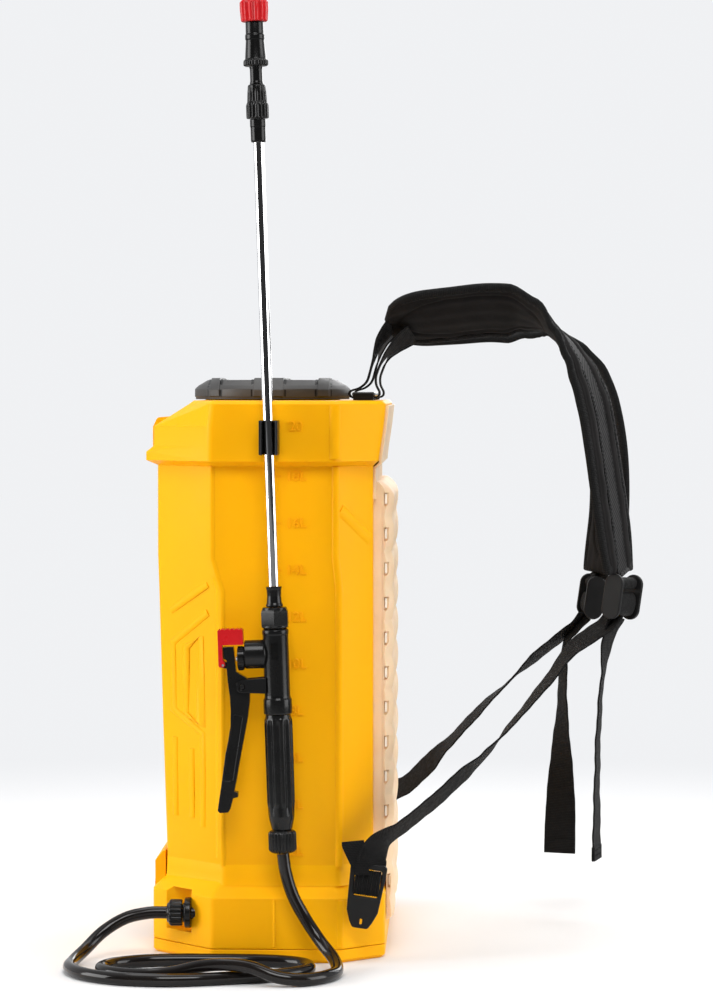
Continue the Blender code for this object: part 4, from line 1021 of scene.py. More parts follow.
def gun():
    profile = [
        (0, 0.2143), (0.0072, 0.2143), (0.0076, 0.2156), (0.0066, 0.2180), (0.0061, 0.2235),
        (0.0064, 0.2290), (0.0072, 0.2318), (0, 0.2318),
    ]
    turned("gun_sleeve", profile, BLACK, "gun", ["gun_ferrule"], steps=64)

    profile = [
        (0, 0.1959), (0.0112, 0.1959, 0.0112), (0.0124, 0.1968, 0.0118), (0.0132, 0.1985, 0.0110),
        (0.0132, 0.2100, 0.0110), (0.0122, 0.2122, 0.0108), (0.0108, 0.2139, 0.0104), (0, 0.2139),
    ]
    turned("gun_top_nut", profile, BLACK, "gun", ["gun_hex_nut"], smooth=30, steps=72, sides=6)

    mesh = bmesh.new()
    profile = [
        (0, 0.1210), (0.0119, 0.1210), (0.0124, 0.1220), (0.0125, 0.1280), (0.0124, 0.1338),
        (0.0116, 0.1350), (0.0112, 0.1370), (0.0112, 0.1900), (0.0116, 0.1908), (0.0116, 0.1940),
        (0.0100, 0.1955), (0, 0.1955),
    ]
    add_turned(mesh, profile, GUN, steps=64)
    mesh = carve(mesh, box_mesh((-0.0036, -0.0130, 0.1693), (0.0024, -0.0092, 0.1832), GUN))
    piece("gun_barrel", mesh, BLACK, "gun", ["gun_body"])

    rings = []
    for x, middle, reach in VALVE_STATIONS:
        ring = []
        for k in range(48):
            angle = 2 * math.pi * k / 48
            ring.append(GUN @ Vector((x, 0.82 * reach * math.cos(angle), middle + reach * math.sin(angle))))
        rings.append(ring)
    mouth = GUN @ Matrix.Translation((-0.040, 0, 0.1700)) @ Matrix.Rotation(math.pi / 2, 4, "Y")
    hole = bore(mouth, 0.0024, 0, 0.022)
    piece("gun_valve", carve(loft_mesh(rings), hole), BLACK, "gun", smooth=35)
    ribs = bmesh.new()
    for k in range(9):
        angle = math.pi * (k - 4) / 9
        y = -0.82 * 0.0100 * math.cos(angle)
        z = 0.1705 + 0.0100 * math.sin(angle)
        add_block(ribs, (-0.0330, y - 0.0008, z - 0.0007), (-0.0284, y + 0.0008, z + 0.0007), GUN)
    piece("gun_valve_ribs", ribs, BLACK, "gun", bevel=0.0003)

    ears = bmesh.new()
    for side in (-1, 1):
        low, high = sorted((side * 0.0056, side * 0.0086))
        add_loft(ears, placed([[Vector((x, y, z)) for x, z in EAR_OUTLINE] for y in (low, high)], GUN))
    ears = carve(ears, bore(along_y(-0.0300, 0.1460), 0.0021, -0.02, 0.02))
    piece("gun_ears", ears, BLACK, "gun", bevel=0.0009, segments=3)

    profile = [
        (0.0085, 0.1205), (0.0085, 0.0400), (0.0040, 0.0360), (0.0040, 0.0204), (0.0088, 0.0204),
        (0.0108, 0.0290), (0.0112, 0.0320), (0.0116, 0.0400, 0.0012), (0.0121, 0.0440, 0.0018),
        (0.0123, 0.1120, 0.0018), (0.0120, 0.1165, 0.0006), (0.0112, 0.1180), (0.0108, 0.1205),
    ]
    turned("gun_grip", profile, BLACK, "gun", ["gun_handle"], smooth=50, flutes=10, sharp=1.4)

    profile = [
        (0, 0.0), (0.0088, 0.0), (0.0104, 0.0008, 0.0004), (0.0122, 0.0026, 0.0010),
        (0.0122, 0.0172, 0.0010), (0.0108, 0.0190, 0.0004), (0.0090, 0.0200), (0, 0.0200),
    ]
    turned("hose_gland", profile, BLACK, "gun", ["gun_hose_nut"], smooth=45, flutes=24, sharp=1.2)


LEVER_OUTLINE = [
    (-0.0456, 0.1808), (-0.0456, 0.1706), (-0.0430, 0.1694), (-0.0430, 0.1675), (-0.0485, 0.1672),
    (-0.0485, 0.1630), (-0.0430, 0.1615), (-0.0425, 0.1500), (-0.0412, 0.1380), (-0.0408, 0.1260),
    (-0.0415, 0.1120), (-0.0438, 0.1000), (-0.0466, 0.0880), (-0.0510, 0.0620), (-0.0545, 0.0430),
    (-0.0552, 0.0385), (-0.0535, 0.0365), (-0.0460, 0.0368), (-0.0440, 0.0400), (-0.0415, 0.0490),
    (-0.0370, 0.0500), (-0.0370, 0.0540), (-0.0402, 0.0550), (-0.0380, 0.0640), (-0.0330, 0.0880),
    (-0.0285, 0.1080), (-0.0260, 0.1200), (-0.0240, 0.1330), (-0.0235, 0.1450), (-0.0255, 0.1530),
    (-0.0350, 0.1590), (-0.0365, 0.1808),
]
LOCK_OUTLINE = [
    (-0.0500, 0.1950), (-0.0500, 0.1645), (-0.0488, 0.1632), (-0.0456, 0.1632), (-0.0444, 0.1645),
    (-0.0444, 0.1672), (-0.0462, 0.1692), (-0.0462, 0.1825), (-0.0280, 0.1825), (-0.0280, 0.1950),
    (-0.0295, 0.1965), (-0.0485, 0.1965),
]


def trigger():
    lever = plate_mesh(LEVER_OUTLINE, -0.0050, 0.0050, GUN)
    cutters = []
    for side in (-1, 1):
        low, high = sorted((side * 0.0020, side * 0.0100))
        cutters.append(box_mesh((-0.0520, low, 0.1615), (-0.0430, high, 0.1690), GUN))
        low, high = sorted((side * 0.0036, side * 0.0080))
        pocket = rounded([(-0.0485, 0.0640), (-0.0412, 0.0640), (-0.0305, 0.1200), (-0.0385, 0.1220)], 0.0015)
        cutters.append(plate_mesh(pocket, low, high, GUN))
    for x, z, radius in ((-0.0300, 0.1460, 0.0021), (-0.0462, 0.1650, 0.0012)):
        hole = [(0, -0.02), (radius, -0.02), (radius, 0.02), (0, 0.02)]
        cutters.append(turned_mesh(hole, along_y(x, z), steps=24, radius=0))
    piece(
        "squeeze_lever", carve(lever, *cutters), BLACK, "trigger", ["trigger_lever"],
        smooth=30, bevel=0.0009, segments=3,
    )
    pins = bmesh.new()
    head = [(0, -0.0092), (0.0019, -0.0092), (0.0019, 0.0092), (0, 0.0092)]
    add_turned(pins, head, along_y(-0.0300, 0.1460), steps=32, radius=0.0004)
    piece("lever_axle", pins, SATIN, "gun", ["trigger_pin"])

    latch = plate_mesh(LOCK_OUTLINE, -0.0060, 0.0060, GUN)
    slot = box_mesh((-0.052, -0.0026, 0.160), (-0.042, 0.0026, 0.1705), GUN)
    hole = bore(along_y(-0.0462, 0.1650), 0.0012, -0.02, 0.02)
    grips = bmesh.new()
    for i in range(5):
        x = -0.0478 + 0.0042 * i
        add_block(grips, (x - 0.0007, -0.0070, 0.1958), (x + 0.0007, 0.0070, 0.1975), GUN)
    latch = carve(latch, slot, hole, grips)
    piece("latch", latch, RED, "lock", ["lever_lock"], smooth=30, bevel=0.0008, segments=3)


# ---------------------------------------------------------------- outlet, panel and its controls


def outlet():
    low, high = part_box("outlet_nut")
    centre = (low + high) / 2
    turn = Matrix.Translation((-0.0712, centre.y, centre.z)) @ Matrix.Rotation(-math.pi / 2, 4, "Y")
    profile = [
        (0, 0.0084), (0.0112, 0.0084, 0.0006), (0.0118, 0.0092, 0.0012), (0.0118, 0.0182, 0.0012),
        (0.0110, 0.0194, 0.0006), (0.0092, 0.0204), (0.0080, 0.0220), (0, 0.0220),
    ]
    turned("outlet_ring", profile, BLACK, "tank", ["outlet_nut"], place=turn, smooth=45, flutes=16, sharp=2.0)
    profile = [
        (0, -0.012), (0.0058, -0.012), (0.0058, 0.0006), (0.0130, 0.0006), (0.0135, 0.0012),
        (0.0135, 0.0056), (0.0128, 0.0062), (0.0085, 0.0064), (0.0085, 0.0080), (0, 0.0080),
    ]
    turned("outlet_flange", profile, BLACK, "tank", ["outlet_fitting"], place=turn, steps=64)


def panel():
    face = -0.1117
    low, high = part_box("control_panel")
    corners = [(low.y, low.z), (high.y, low.z), (high.y, high.z), (low.y, high.z)]
    rim = rounded(corners, 0.004)
    mesh = loft_mesh([[Vector((x, y, z)) for y, z in rim] for x in (high.x, low.x)])
    left, right, foot, head = low.y + 0.004, high.y - 0.004, low.z + 0.004, high.z - 0.004
    inner = rounded([(left, foot), (right, foot), (right, head), (left, head)], 0.003)
    sunk = loft_mesh([[Vector((x, y, z)) for y, z in inner] for x in (low.x - 0.002, low.x + 0.0006)])
    sideways = Matrix.Rotation(-math.pi / 2, 4, "Y")
    knob_place = Matrix.Translation((face, 0.002, 0.0425)) @ sideways
    socket_place = Matrix.Translation((face, 0.033, 0.0425)) @ sideways
    window = box_mesh((-0.12, -0.0345, 0.0320), (-0.10, -0.0215, 0.0530))
    hole = bore(knob_place, 0.0036, -0.01, 0.01, steps=32)
    socket = bore(socket_place, 0.0058, -0.01, 0.01, steps=32)
    plate = carve(mesh, sunk, window, hole, socket)
    piece("panel_plate", plate, SATIN, "tank", ["control_panel"], smooth=30, bevel=0.0004)
    outline = [
        (-0.1060, 0.0340), (-0.1060, 0.0510), (-0.1128, 0.0515), (-0.1150, 0.0510), (-0.1143, 0.0470),
        (-0.1137, 0.0425), (-0.1143, 0.0380), (-0.1150, 0.0340), (-0.1128, 0.0335),
    ]
    rocker = plate_mesh(outline, -0.0340, -0.0220)
    piece("rocker", rocker, RED, "switch", ["power_switch"], bevel=0.0007, segments=3)
    profile = [
        (0, -0.006), (0.0032, -0.006), (0.0032, 0.0005), (0.0116, 0.0006), (0.0120, 0.0012, 0.0010),
        (0.0120, 0.0040, 0.0010), (0.0108, 0.0054, 0.0004), (0.0080, 0.0055), (0.0074, 0.0048),
        (0, 0.0048),
    ]
    options = {"smooth": 45, "flutes": 20, "sharp": 1.6}
    turned("knob_grip", profile, SATIN, "knob", ["pressure_knob"], place=knob_place, **options)
    pointer = box_mesh((0.0016, -0.0007, 0.0044), (0.0068, 0.0007, 0.0054), knob_place)
    piece("knob_pointer", pointer, RED, "knob", bevel=0.0002)
    dots = bmesh.new()
    for k in range(9):
        angle = math.radians(-135 + 270 * k / 8)
        size = 0.0005 + 0.00006 * k
        spot = knob_place @ Matrix.Translation((0.0145 * math.cos(angle), 0.0145 * math.sin(angle), -0.0007))
        add_turned(dots, [(0, 0), (size, 0), (size * 0.7, 0.0003), (0, 0.0004)], spot, steps=16, radius=0)
    piece("knob_scale", dots, MESH, "tank")


def inner_works():
    """Cell ribs on the battery, seen when the base is opened up."""
    low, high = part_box("battery_pack")
    mesh = bmesh.new()
    front, back, top = low.x + 0.004, high.x - 0.004, high.z
    for k in range(6):
        y = low.y + (high.y - low.y) * (k + 0.5) / 6
        add_block(mesh, (front, y - 0.0012, top - 0.0006), (back, y + 0.0012, top + 0.0006))
    piece("battery_ribs", mesh, BATTERY, "tank", bevel=0.0003)


# ---------------------------------------------------------------- straps

STRAP_PLANE = 0.083
PAD_HALF = 0.0375
WEB_HALF = 0.015
WEB_THICK = 0.0016
PAD_TWIST = [
    (0.0, -34.0), (0.28, -34.0), (0.335, -20.0), (0.40, 0.0), (0.47, 12.0), (0.53, 19.0), (0.60, 22.0),
    (1.0, 23.0),
]
TOP_TWIST = [(0.0, 20.0), (0.25, 0.0), (0.75, 0.0), (1.0, -26.0)]
TOP_ROUTE = [
    (0.1030, 0.5600), (0.0945, 0.5480), (0.0895, 0.5360), (0.0855, 0.5230), (0.0820, 0.5110),
    (0.0760, 0.5045), (0.0665, 0.5005), (0.0668, 0.4962), (0.0725, 0.49445), (0.0790, 0.49445),
    (0.0855, 0.49445), (0.0915, 0.4962), (0.0925, 0.5005), (0.0895, 0.5080), (0.0905, 0.5180),
    (0.0970, 0.5310), (0.1080, 0.5430), (0.1220, 0.5530),
]
LOWER_END = [
    (0.1160, 0.158, 0.1200), (0.1010, 0.169, 0.1095), (0.0930, 0.1755, 0.1020),
    (0.0893, 0.1775, 0.0960), (0.0878, 0.1790, 0.0880),
]
HOOK_MIDDLE = (0.0822, 0.0605)
HOOK_LEAN = math.radians(8)
STRAPS = {
    "near": {
        "side": -1,
        "adjuster": (0.3105, 0.3165),
        "turn": -30,
        "pad": [
            (0.0990, 0.5640), (0.1250, 0.5660), (0.1560, 0.5695), (0.1910, 0.5730), (0.2230, 0.5697),
            (0.2472, 0.5554), (0.2643, 0.5361), (0.2764, 0.5132), (0.2853, 0.4868), (0.2916, 0.4509),
            (0.2966, 0.4168), (0.3014, 0.3840), (0.3071, 0.3385),
        ],
        "lower": [
            (0.3035, 0.0850, 0.3020), (0.2950, 0.0880, 0.2915), (0.2810, 0.0920, 0.2820),
            (0.2643, 0.0960, 0.2697), (0.2425, 0.1030, 0.2417), (0.2100, 0.1140, 0.2036),
            (0.1861, 0.1220, 0.1770), (0.1689, 0.1290, 0.1623), (0.1408, 0.1430, 0.1382),
        ],
        "lower_twist": [(0.0, -26.0), (0.1, -22.0), (0.25, -11.0), (0.42, -3.0), (0.55, 14.0), (0.62, 25.0)]
        + [(0.76, 26.0), (0.88, 26.0), (0.96, 56.0), (1.0, 60.0)],
        "tail": [
            (0.3060, 0.0830, 0.2990), (0.2990, 0.0830, 0.2830), (0.2935, 0.0830, 0.2500),
            (0.2895, 0.0830, 0.2000), (0.2880, 0.0830, 0.1400), (0.2880, 0.0830, 0.0800),
        ],
        "tail_twist": [(0.0, 30.0), (0.10, 22.0), (0.25, 8.0), (0.6, 10.0), (1.0, 15.0)],
    },
    "far": {
        "side": 1,
        "adjuster": (0.2895, 0.3065),
        "turn": 8,
        "pad": [
            (0.0990, 0.5640), (0.1250, 0.5660), (0.1600, 0.5680), (0.1990, 0.5700), (0.2350, 0.5640),
            (0.2660, 0.5460), (0.2880, 0.5170), (0.2990, 0.4820), (0.3050, 0.4450), (0.3065, 0.4050),
            (0.3045, 0.3700), (0.2972, 0.3290),
        ],
        "lower": [
            (0.2835, 0.0850, 0.2910), (0.2750, 0.0880, 0.2790), (0.2591, 0.0920, 0.2660),
            (0.2384, 0.0980, 0.2484), (0.2096, 0.1060, 0.2205), (0.1832, 0.1160, 0.1940),
            (0.1531, 0.1300, 0.1600), (0.1380, 0.1400, 0.1430),
        ],
        "lower_twist": [(0.0, -22.0), (0.2, -20.0), (0.35, -2.0), (0.48, 9.0), (0.62, 10.0), (0.72, 26.0)]
        + [(0.80, 26.0), (0.88, 26.0), (0.96, 56.0), (1.0, 60.0)],
        "tail": [
            (0.2850, 0.0830, 0.2885), (0.2740, 0.0830, 0.2760), (0.2645, 0.0830, 0.2550),
            (0.2620, 0.0830, 0.1900), (0.2610, 0.0830, 0.1200), (0.2600, 0.0830, 0.0620),
        ],
        "tail_twist": [(0.0, 16.0), (0.15, 6.0), (0.3, 12.0), (1.0, 78.0)],
    },
}


def at_share(stops, share):
    """The value at this share of the length, eased between the (share, value) stops."""
    for (a, low), (b, high) in zip(stops, stops[1:]):
        if share <= b:
            t = (share - a) / (b - a)
            return low + (high - low) * t * t * (3 - 2 * t)
    return stops[-1][1]


def strip_frames(route, count, twist, side):
    """Evenly spaced (point, across, outward) along a strap, with its twist mirrored on the +Y side."""
    points = smooth_points([(x, side * y, z) for x, y, z in route], count)
    frames = []
    for i, point in enumerate(points):
        run = (points[min(i + 1, count - 1)] - points[max(i - 1, 0)]).normalized()
        across = (Vector((0, 1, 0)) - run * run.y).normalized()
        angle = math.radians(-side * at_share(twist, i / (count - 1)))
        across = Matrix.Rotation(angle, 3, run) @ across
        frames.append((point, across, run.cross(across)))
    return frames


def add_webbing(mesh, frames, half=WEB_HALF, thick=WEB_THICK, lift=0.0, ripple=0.0004):
    """Flat webbing with rounded edges over the frames, waving slightly along its length."""
    rings = []
    for i, (point, across, outward) in enumerate(frames):
        wave = ripple * math.sin(i * 0.37) + ripple * 0.6 * math.sin(i * 0.91 + 1.3)
        centre = point + outward * (lift + wave)
        t = thick / 2
        flat, low = half - t * 0.4, t * 0.4
        shape = [(-flat, -t), (flat, -t), (half, -low), (half, low)]
        shape += [(flat, t), (0.0, t * 1.05), (-flat, t), (-half, low), (-half, -low)]
        rings.append([centre + across * u + outward * v for u, v in shape])
    add_loft(mesh, rings)


def add_stitch(mesh, start, end, outward, radius=0.00034):
    """One thread stitch that dips into the cloth at both ends."""
    across = (end - start).normalized().cross(outward).normalized()
    rings = []
    for share, rise in ((0.0, -0.5), (0.18, 0.75), (0.5, 1.1), (0.82, 0.75), (1.0, -0.5)):
        centre = start.lerp(end, share) + outward * radius * rise
        turns = (0.5, 1.6, 2.6, 3.7, 4.7, 5.8)
        rings.append([centre + (across * math.cos(a) + outward * math.sin(a)) * radius for a in turns])
    add_loft(mesh, rings)


def pad_width_at(share, length):
    """Half the pad's width: rounded at the tank's end, and narrowing to the buckle at the other."""
    start = min(1.0, share * length / 0.040)
    end = min(1.0, (1 - share) * length / 0.045)
    first = (1 - (1 - start) ** 2.3) ** (1 / 2.3)
    last = 0.80 + 0.20 * math.sin(math.pi / 2 * end)
    return PAD_HALF * max(0.05, first) * last


def outer_height(u):
    """How far the outer face stands off the pad's middle surface, at u from -1 to 1 across it."""
    edge = abs(u)
    if edge > 0.82:
        return 0.0022
    if edge > 0.76:
        return 0.0017
    if edge > 0.36:
        part = (edge - 0.36) / 0.40
        return 0.0018 + 0.0042 * math.sin(math.pi * part) ** 0.7
    return 0.0030 - 0.0008 * (edge / 0.36) ** 4


def inner_height(u, along, length):
    """The inner face: padded, with an oval panel stitched down round its edge."""
    edge = abs(u)
    crown = 0.0022 + 0.0030 * max(0.0, 1 - (edge / 0.86) ** 2) ** 0.6
    for middle, reach in ((0.205, 0.175), (0.685, 0.270)):
        q = abs(along - middle) / reach
        if q < 1.25:
            rim = 0.70 * max(0.0, 1 - min(q, 1.0) ** 3) ** 0.5
            gap = abs(edge - rim)
            if q >= 1:
                gap = math.hypot(edge, (q - 1) * reach * length / PAD_HALF)
            crown -= 0.0017 * math.exp(-((gap / 0.045) ** 2))
    return crown


def shoulder_pad(label, strap):
    side = strap["side"]
    count = 190
    frames = strip_frames([(x, STRAP_PLANE, z) for x, z in strap["pad"]], count, PAD_TWIST, side)
    length = length_of([point for point, _, _ in frames])
    columns = 46
    rings = []
    for i, (point, across, outward) in enumerate(frames):
        share = i / (count - 1)
        half = pad_width_at(share, length)
        tip = min(1.0, share * length / 0.012, (1 - share) * length / 0.012)
        soft = 0.35 + 0.65 * math.sqrt(1 - (1 - tip) ** 2)
        wrinkle = 0.0005 * math.sin(share * 61 + 0.8) * math.exp(-(((share - 0.42) / 0.10) ** 2))
        wrinkle += 0.00025 * math.sin(share * 97) + 0.0002 * math.sin(share * 41 + 2)
        ring = []
        for k in range(columns + 1):
            u = -1 + 2 * k / columns
            shift = wrinkle * math.cos(u * 2.1 + share * 9)
            height = outer_height(u) * soft + shift
            ring.append(point + across * half * u + outward * height)
        for k in range(columns + 1):
            u = 1 - 2 * k / columns
            shift = wrinkle * math.cos(u * 2.1 + share * 9)
            height = inner_height(u, share, length) * soft - shift
            ring.append(point + across * half * u - outward * height)
        rings.append(ring)
    mesh = bmesh.new()
    add_loft(mesh, rings)
    pad = piece(f"pad_{label}", mesh, PAD, "tank", [f"shoulder_pad_{label}"], smooth=70)

    # Edge binding folded round the rim
    stations = []
    for i in range(0, count, 2):
        point, across, outward = frames[i]
        stations.append((point - across * pad_width_at(i / (count - 1), length), -across, outward))
    for i in range(count - 1, -1, -2):
        point, across, outward = frames[i]
        stations.append((point + across * pad_width_at(i / (count - 1), length), across, outward))
    rim = bmesh.new()
    rings = []
    for k, (point, _, outward) in enumerate(stations):
        before = stations[k - 1][0]
        after = stations[(k + 1) % len(stations)][0]
        away = (after - before).normalized().cross(outward).normalized()
        shape = [(-0.0058, 0.0030), (-0.0020, 0.0033), (0.0006, 0.0028), (0.0016, 0.0012), (0.0018, 0.0)]
        shape += [(0.0016, -0.0012), (0.0006, -0.0028), (-0.0020, -0.0033), (-0.0058, -0.0030)]
        shape += [(-0.0056, -0.0020), (-0.0018, -0.0020), (0.0002, 0.0), (-0.0018, 0.0020), (-0.0056, 0.0020)]
        sign = 1.0 if away.dot(stations[k][1]) >= 0 else -1.0
        rings.append([point + away * sign * a + outward * b for a, b in shape])
    add_loft(rim, rings, closed=True)
    piece(f"pad_binding_{label}", rim, WEBBING, "tank", smooth=50)

    # Centre webbing down the outer face, which runs on into the buckle
    x, z = strap["adjuster"]
    route = strap["pad"][1:] + [((strap["pad"][-1][0] + x) / 2, 0.3380 + (z - 0.3165)), (x, z + 0.0190)]
    band = strip_frames([(x, STRAP_PLANE, z) for x, z in route], 220, shifted(PAD_TWIST), side)
    mesh = bmesh.new()
    add_webbing(mesh, band, half=0.0122, thick=0.0014, lift=0.0036, ripple=0.0001)
    piece(f"pad_band_{label}", mesh, TWILL, "tank", smooth=50)

    threads = bmesh.new()
    for i in range(6, count - 5, 2):
        share = i / (count - 1)
        half = pad_width_at(share, length)
        for u, face in ((-0.90, 1), (0.90, 1), (-0.79, 1), (0.79, 1), (-0.90, -1), (0.90, -1)):
            height = 0.0031 if abs(u) > 0.8 else 0.0020
            ends = []
            for j in (i, i + 1.35):
                low = int(j)
                point, across, outward = frames[low]
                after = frames[low + 1][0]
                ends.append(point.lerp(after, j - low) + across * half * u + outward * face * height)
            add_stitch(threads, ends[0], ends[1], frames[i][2] * face)
        if share > 0.05:
            for u in (-0.0105, 0.0105):
                point, across, outward = frames[i]
                after = frames[i + 1][0]
                lift = outward * 0.0043
                start = point + across * u + lift
                add_stitch(threads, start, start + (after - point) * 1.35, outward)
    piece(f"pad_stitching_{label}", threads, SATIN, "tank", smooth=60)


def shifted(stops):
    """The pad's twist for the centre webbing, which starts later and ends past the pad."""
    return [(max(0.0, (share - 0.065) / 0.99), angle) for share, angle in stops]


def adjuster(label, strap):
    side = strap["side"]
    x, z = strap["adjuster"]
    lean = Matrix.Rotation(math.radians(8), 4, "Y") @ Matrix.Rotation(math.radians(strap["turn"]), 4, "Z")
    place = Matrix.Translation((x, side * STRAP_PLANE, z)) @ lean
    mesh = bmesh.new()
    outline = []
    for centre, first in ((0.0115, 0), (-0.0115, 180)):
        for k in range(15):
            angle = math.radians(first + 180 * k / 14)
            outline.append((0.0090 * math.cos(angle), centre + 0.0090 * math.sin(angle)))
    for low in (-0.0210, 0.0170):
        rings = [[place @ Vector((a, y, b)) for a, b in outline] for y in (low, low + 0.0040)]
        add_loft(mesh, rings)
    replaces = [f"adjuster_{label}"]
    piece(f"buckle_{label}", mesh, SATIN, "tank", replaces, smooth=30, bevel=0.0011, segments=3)
    bars = bmesh.new()
    for height in (-0.0125, 0.0, 0.0125):
        turn = place @ Matrix.Translation((0, 0, height)) @ Matrix.Rotation(math.radians(90), 4, "X")
        bar = [(0, -0.019), (0.0028, -0.019), (0.0028, 0.019), (0, 0.019)]
        add_turned(bars, bar, turn, steps=24, radius=0)
    piece(f"buckle_bars_{label}", bars, SATIN, "tank")
    # The webbing's turns round the bars
    wraps = bmesh.new()
    for centre, wide, high in ((0.0125, 0.0052, 0.0052), (-0.0062, 0.0068, 0.0108)):
        rings = []
        for y in (-0.0150, -0.0146, -0.0100, 0.0, 0.0100, 0.0146, 0.0150):
            shrink = 0.0004 if abs(y) > 0.0148 else 0.0
            outer = []
            for k in range(32):
                angle = 2 * math.pi * k / 32
                c, s = math.cos(angle), math.sin(angle)
                a = math.copysign(abs(c) ** 0.85, c)
                b = math.copysign(abs(s) ** 0.85, s)
                outer.append(place @ Vector(((wide - shrink) * a, y, centre + (high - shrink) * b)))
            rings.append(outer)
        add_loft(wraps, rings)
    piece(f"buckle_wrap_{label}", wraps, WEBBING, "tank", smooth=40)


def webbings(label, strap):
    side = strap["side"]
    mesh = bmesh.new()
    route = [(x, STRAP_PLANE, z) for x, z in TOP_ROUTE]
    add_webbing(mesh, strip_frames(route, 110, TOP_TWIST, side), ripple=0.0001)
    piece(f"top_loop_{label}", mesh, WEBBING, "tank", [f"top_webbing_{label}"], smooth=50)

    mesh = bmesh.new()
    frames = strip_frames(strap["lower"] + LOWER_END, 150, strap["lower_twist"], side)
    add_webbing(mesh, frames, ripple=0.0002)
    piece(f"lower_strap_{label}", mesh, WEBBING, "tank", [f"lower_webbing_{label}"], smooth=50)

    mesh = bmesh.new()
    frames = strip_frames(strap["tail"], 90, strap["tail_twist"], side)
    add_webbing(mesh, frames, ripple=0.0003)
    add_webbing(mesh, frames[-6:], thick=0.0030, ripple=0.0)
    for row in (-3, -5):
        point, across, outward = frames[row]
        for k in range(7):
            start = point + across * (-0.0125 + 0.0036 * k) + outward * 0.0017
            add_stitch(mesh, start, start + across * 0.0026, outward)
    piece(f"loose_end_{label}", mesh, WEBBING, "tank", [f"strap_tail_{label}"], smooth=50)


def leaned(outline):
    """The outline tilted with the lower buckle, whose top leans towards the wearer."""
    across, up = math.cos(HOOK_LEAN), math.sin(HOOK_LEAN)
    middle_x, middle_z = HOOK_MIDDLE
    points = []
    for x, z in outline:
        dx, dz = x - middle_x, z - middle_z
        points.append((middle_x + dx * across + dz * up, middle_z + dz * across - dx * up))
    return points


def hook_buckle(label, strap):
    side = strap["side"]
    low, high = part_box(f"hook_buckle_{label}")
    near, far = sorted((low.y, high.y))
    outline = [(0.0690, 0.0890), (0.0664, 0.0872), (0.0662, 0.0845), (0.0680, 0.0470), (0.0715, 0.0375)]
    outline += [(0.0745, 0.0325), (0.0765, 0.0320), (0.0865, 0.0320), (0.0885, 0.0325), (0.0915, 0.0375)]
    outline += [(0.0955, 0.0470), (0.0985, 0.0845), (0.0983, 0.0872), (0.0957, 0.0890)]
    plate = plate_mesh(leaned(outline), near, far)
    window = rounded([(0.0715, 0.0600), (0.0935, 0.0600), (0.0945, 0.0840), (0.0708, 0.0840)], 0.002)
    slot = rounded([(0.0806, 0.0352), (0.0828, 0.0352), (0.0828, 0.0404), (0.0806, 0.0404)], 0.001)
    plate = carve(plate, plate_mesh(leaned(window), -0.3, 0.3), plate_mesh(leaned(slot), -0.3, 0.3))
    name = f"hook_plate_{label}"
    replaces = [f"hook_buckle_{label}"]
    piece(name, plate, SATIN, "tank", replaces, smooth=30, bevel=0.0010, segments=3)
    # The webbing's turn round the cross bar, ribbed across the strap
    middle = (near + far) / 2
    wrap = bmesh.new()
    rings = []
    for k in range(23):
        x = 0.0712 + 0.0226 * k / 22
        ribbed = 0.0003 * math.cos(k * math.pi)
        shrink = 0.0006 if k in (0, 22) else ribbed
        ring = []
        for i in range(32):
            angle = 2 * math.pi * i / 32
            deep = (0.0048 - shrink) * math.copysign(abs(math.cos(angle)) ** 0.8, math.cos(angle))
            tall = (0.0112 - shrink) * math.copysign(abs(math.sin(angle)) ** 0.8, math.sin(angle))
            u, v = leaned([(x, 0.0722 + tall)])[0]
            ring.append(Vector((u, middle + deep, v)))
        rings.append(ring)
    add_loft(wrap, rings)
    piece(f"hook_wrap_{label}", wrap, WEBBING, "tank", smooth=40)
    # The loose end standing up beside the buckle
    tail_low, tail_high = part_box(f"hook_tail_{label}")
    plane = (tail_low.y + tail_high.y) / 2
    rings = []
    for k in range(13):
        t = k / 12
        left = Vector((0.0740 - 0.0118 * min(1.0, t * 1.15), 0, 0.0800 + 0.0285 * t))
        right = Vector((0.0865 - 0.0050 * t, 0, 0.0800 + 0.0305 * t))
        bow = side * 0.0012 * math.sin(math.pi * t)
        ring = []
        for share in (0.0, 0.25, 0.5, 0.75, 1.0):
            spot = left.lerp(right, share)
            ring.append(Vector((spot.x, plane + bow - side * 0.0007, spot.z)))
        for share in (1.0, 0.75, 0.5, 0.25, 0.0):
            spot = left.lerp(right, share)
            ring.append(Vector((spot.x, plane + bow + side * 0.0007, spot.z)))
        rings.append(ring)
    mesh = bmesh.new()
    add_loft(mesh, rings)
    piece(f"hook_end_{label}", mesh, WEBBING, "tank", [f"hook_tail_{label}"], smooth=50)


# ---------------------------------------------------------------- camera, lights and floor


def aim(thing, target):
    thing.rotation_euler = (Vector(target) - thing.location).to_track_quat("-Z", "Y").to_euler()


def paint_world(tree):
    """A pale room, dimmer on the -Y side, which the glossy parts reflect as dark middles and bright rims."""
    background = tree.nodes["Background"]
    parts = add_node(tree, "SeparateXYZ")
    tree.links.new(coordinates(tree, "Generated"), parts.inputs["Vector"])
    values = {"From Min": -0.70, "From Max": 0.15, "To Min": 0.03, "To Max": 0.70}
    level = ranged(tree, parts.outputs["Y"], values, interpolation_type="SMOOTHSTEP")
    mix = add_node(tree, "Mix", {"B": ROOM_LEVEL})
    tree.links.new(add_node(tree, "LightPath").outputs["Is Camera Ray"], mix.inputs["Factor"])
    tree.links.new(level, mix.inputs["A"])
    background.inputs["Color"].default_value = ROOM_COLOUR
    tree.links.new(mix.outputs["Result"], background.inputs["Strength"])


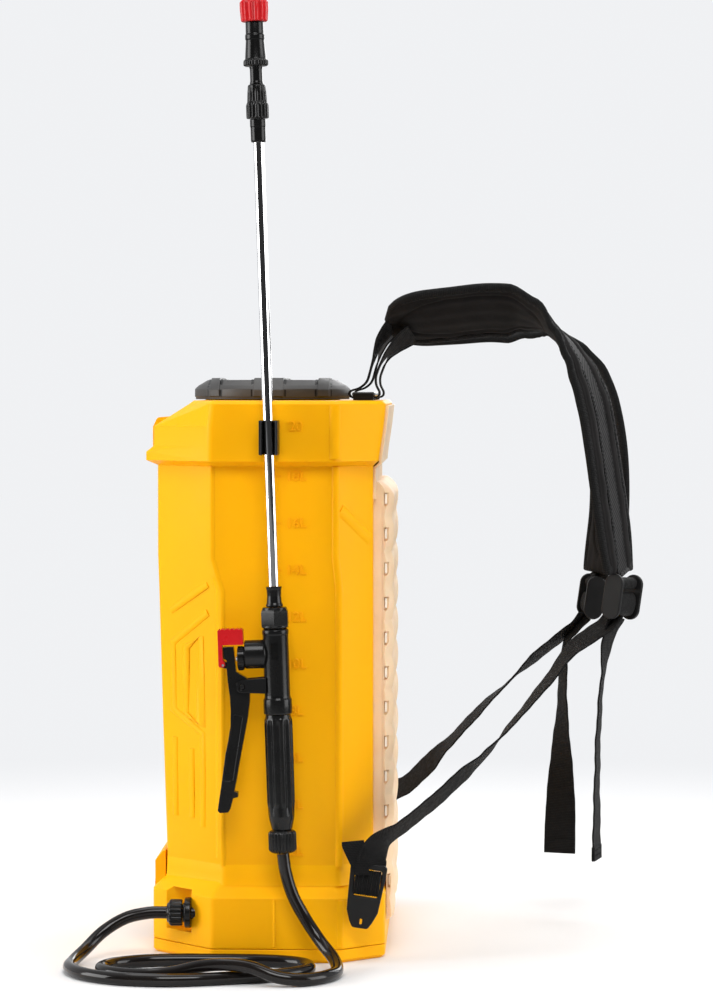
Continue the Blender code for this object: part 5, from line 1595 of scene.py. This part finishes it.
def studio():
    scene = bpy.context.scene
    lens = bpy.data.cameras.new("camera")
    lens.lens = 118.0
    lens.sensor_width = 36.0
    lens.sensor_fit = "AUTO"
    camera = bpy.data.objects.new("camera", lens)
    camera.location = (0.162, -3.0, 0.502)
    aim(camera, (0.0694, 0.0, 0.404))
    scene.collection.objects.link(camera)
    scene.camera = camera
    lamps = [
        ("left", (-2.6, -0.75, 0.75), (1.7, 2.0), 72.0),
        ("right", (2.7, -0.75, 0.80), (1.7, 2.0), 47.0),
        ("front_high", (0.25, -2.4, 2.5), (1.6, 1.4), 60.0),
        ("top", (0.1, 0.4, 2.7), (2.0, 2.0), 26.0),
        ("back", (0.9, 2.4, 1.3), (2.0, 1.6), 34.0),
    ]
    for name, place, size, power in lamps:
        light = bpy.data.lights.new(name, "AREA")
        light.shape = "RECTANGLE"
        light.size, light.size_y = size
        light.energy = power
        lamp = bpy.data.objects.new(name, light)
        lamp.location = place
        aim(lamp, (0.05, 0.0, 0.35))
        scene.collection.objects.link(lamp)
    world = bpy.data.worlds.new("studio")
    world.use_nodes = True
    paint_world(world.node_tree)
    scene.world = world
    scene.view_settings.view_transform = "Standard"
    mesh = bmesh.new()
    corners = [(-12, -12, 0), (12, -12, 0), (12, 12, 0), (-12, 12, 0)]
    mesh.faces.new([mesh.verts.new(corner) for corner in corners])
    data = bpy.data.meshes.new("floor")
    mesh.to_mesh(data)
    mesh.free()
    floor = bpy.data.objects.new("floor", data)
    floor.data.materials.append(make_floor())
    scene.collection.objects.link(floor)


# ---------------------------------------------------------------- hose


def hose():
    points = smooth_points(HOSE_ROUTE, 260)
    mesh = bmesh.new()
    add_tube(mesh, points, HOSE_DIAMETER / 2, sides=20)
    tube = piece("hose_tube", mesh, HOSE, None, ["hose"], smooth=60)
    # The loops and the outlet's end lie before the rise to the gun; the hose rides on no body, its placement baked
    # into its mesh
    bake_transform(tube)


# ---------------------------------------------------------------- surfaces of the nodes that stay


def dress_nodes():
    """Gives every CAD node its finished material; the replaced ones aren't shown."""
    for part in frame["record"]["subparts"]:
        data = nodes[part["node"]].data
        data.materials.clear()
        data.materials.append(SURFACES[part["material_slot"]])
        data.shade_smooth()
        data.set_sharp_from_angle(angle=math.radians(30))


studio()
hose()
dress_nodes()
tank()
base()
lid()
lance_clip()
back_rest()
nozzle()
gun()
trigger()
outlet()
panel()
inner_works()
for label, strap in STRAPS.items():
    shoulder_pad(label, strap)
    adjuster(label, strap)
    webbings(label, strap)
    hook_buckle(label, strap)
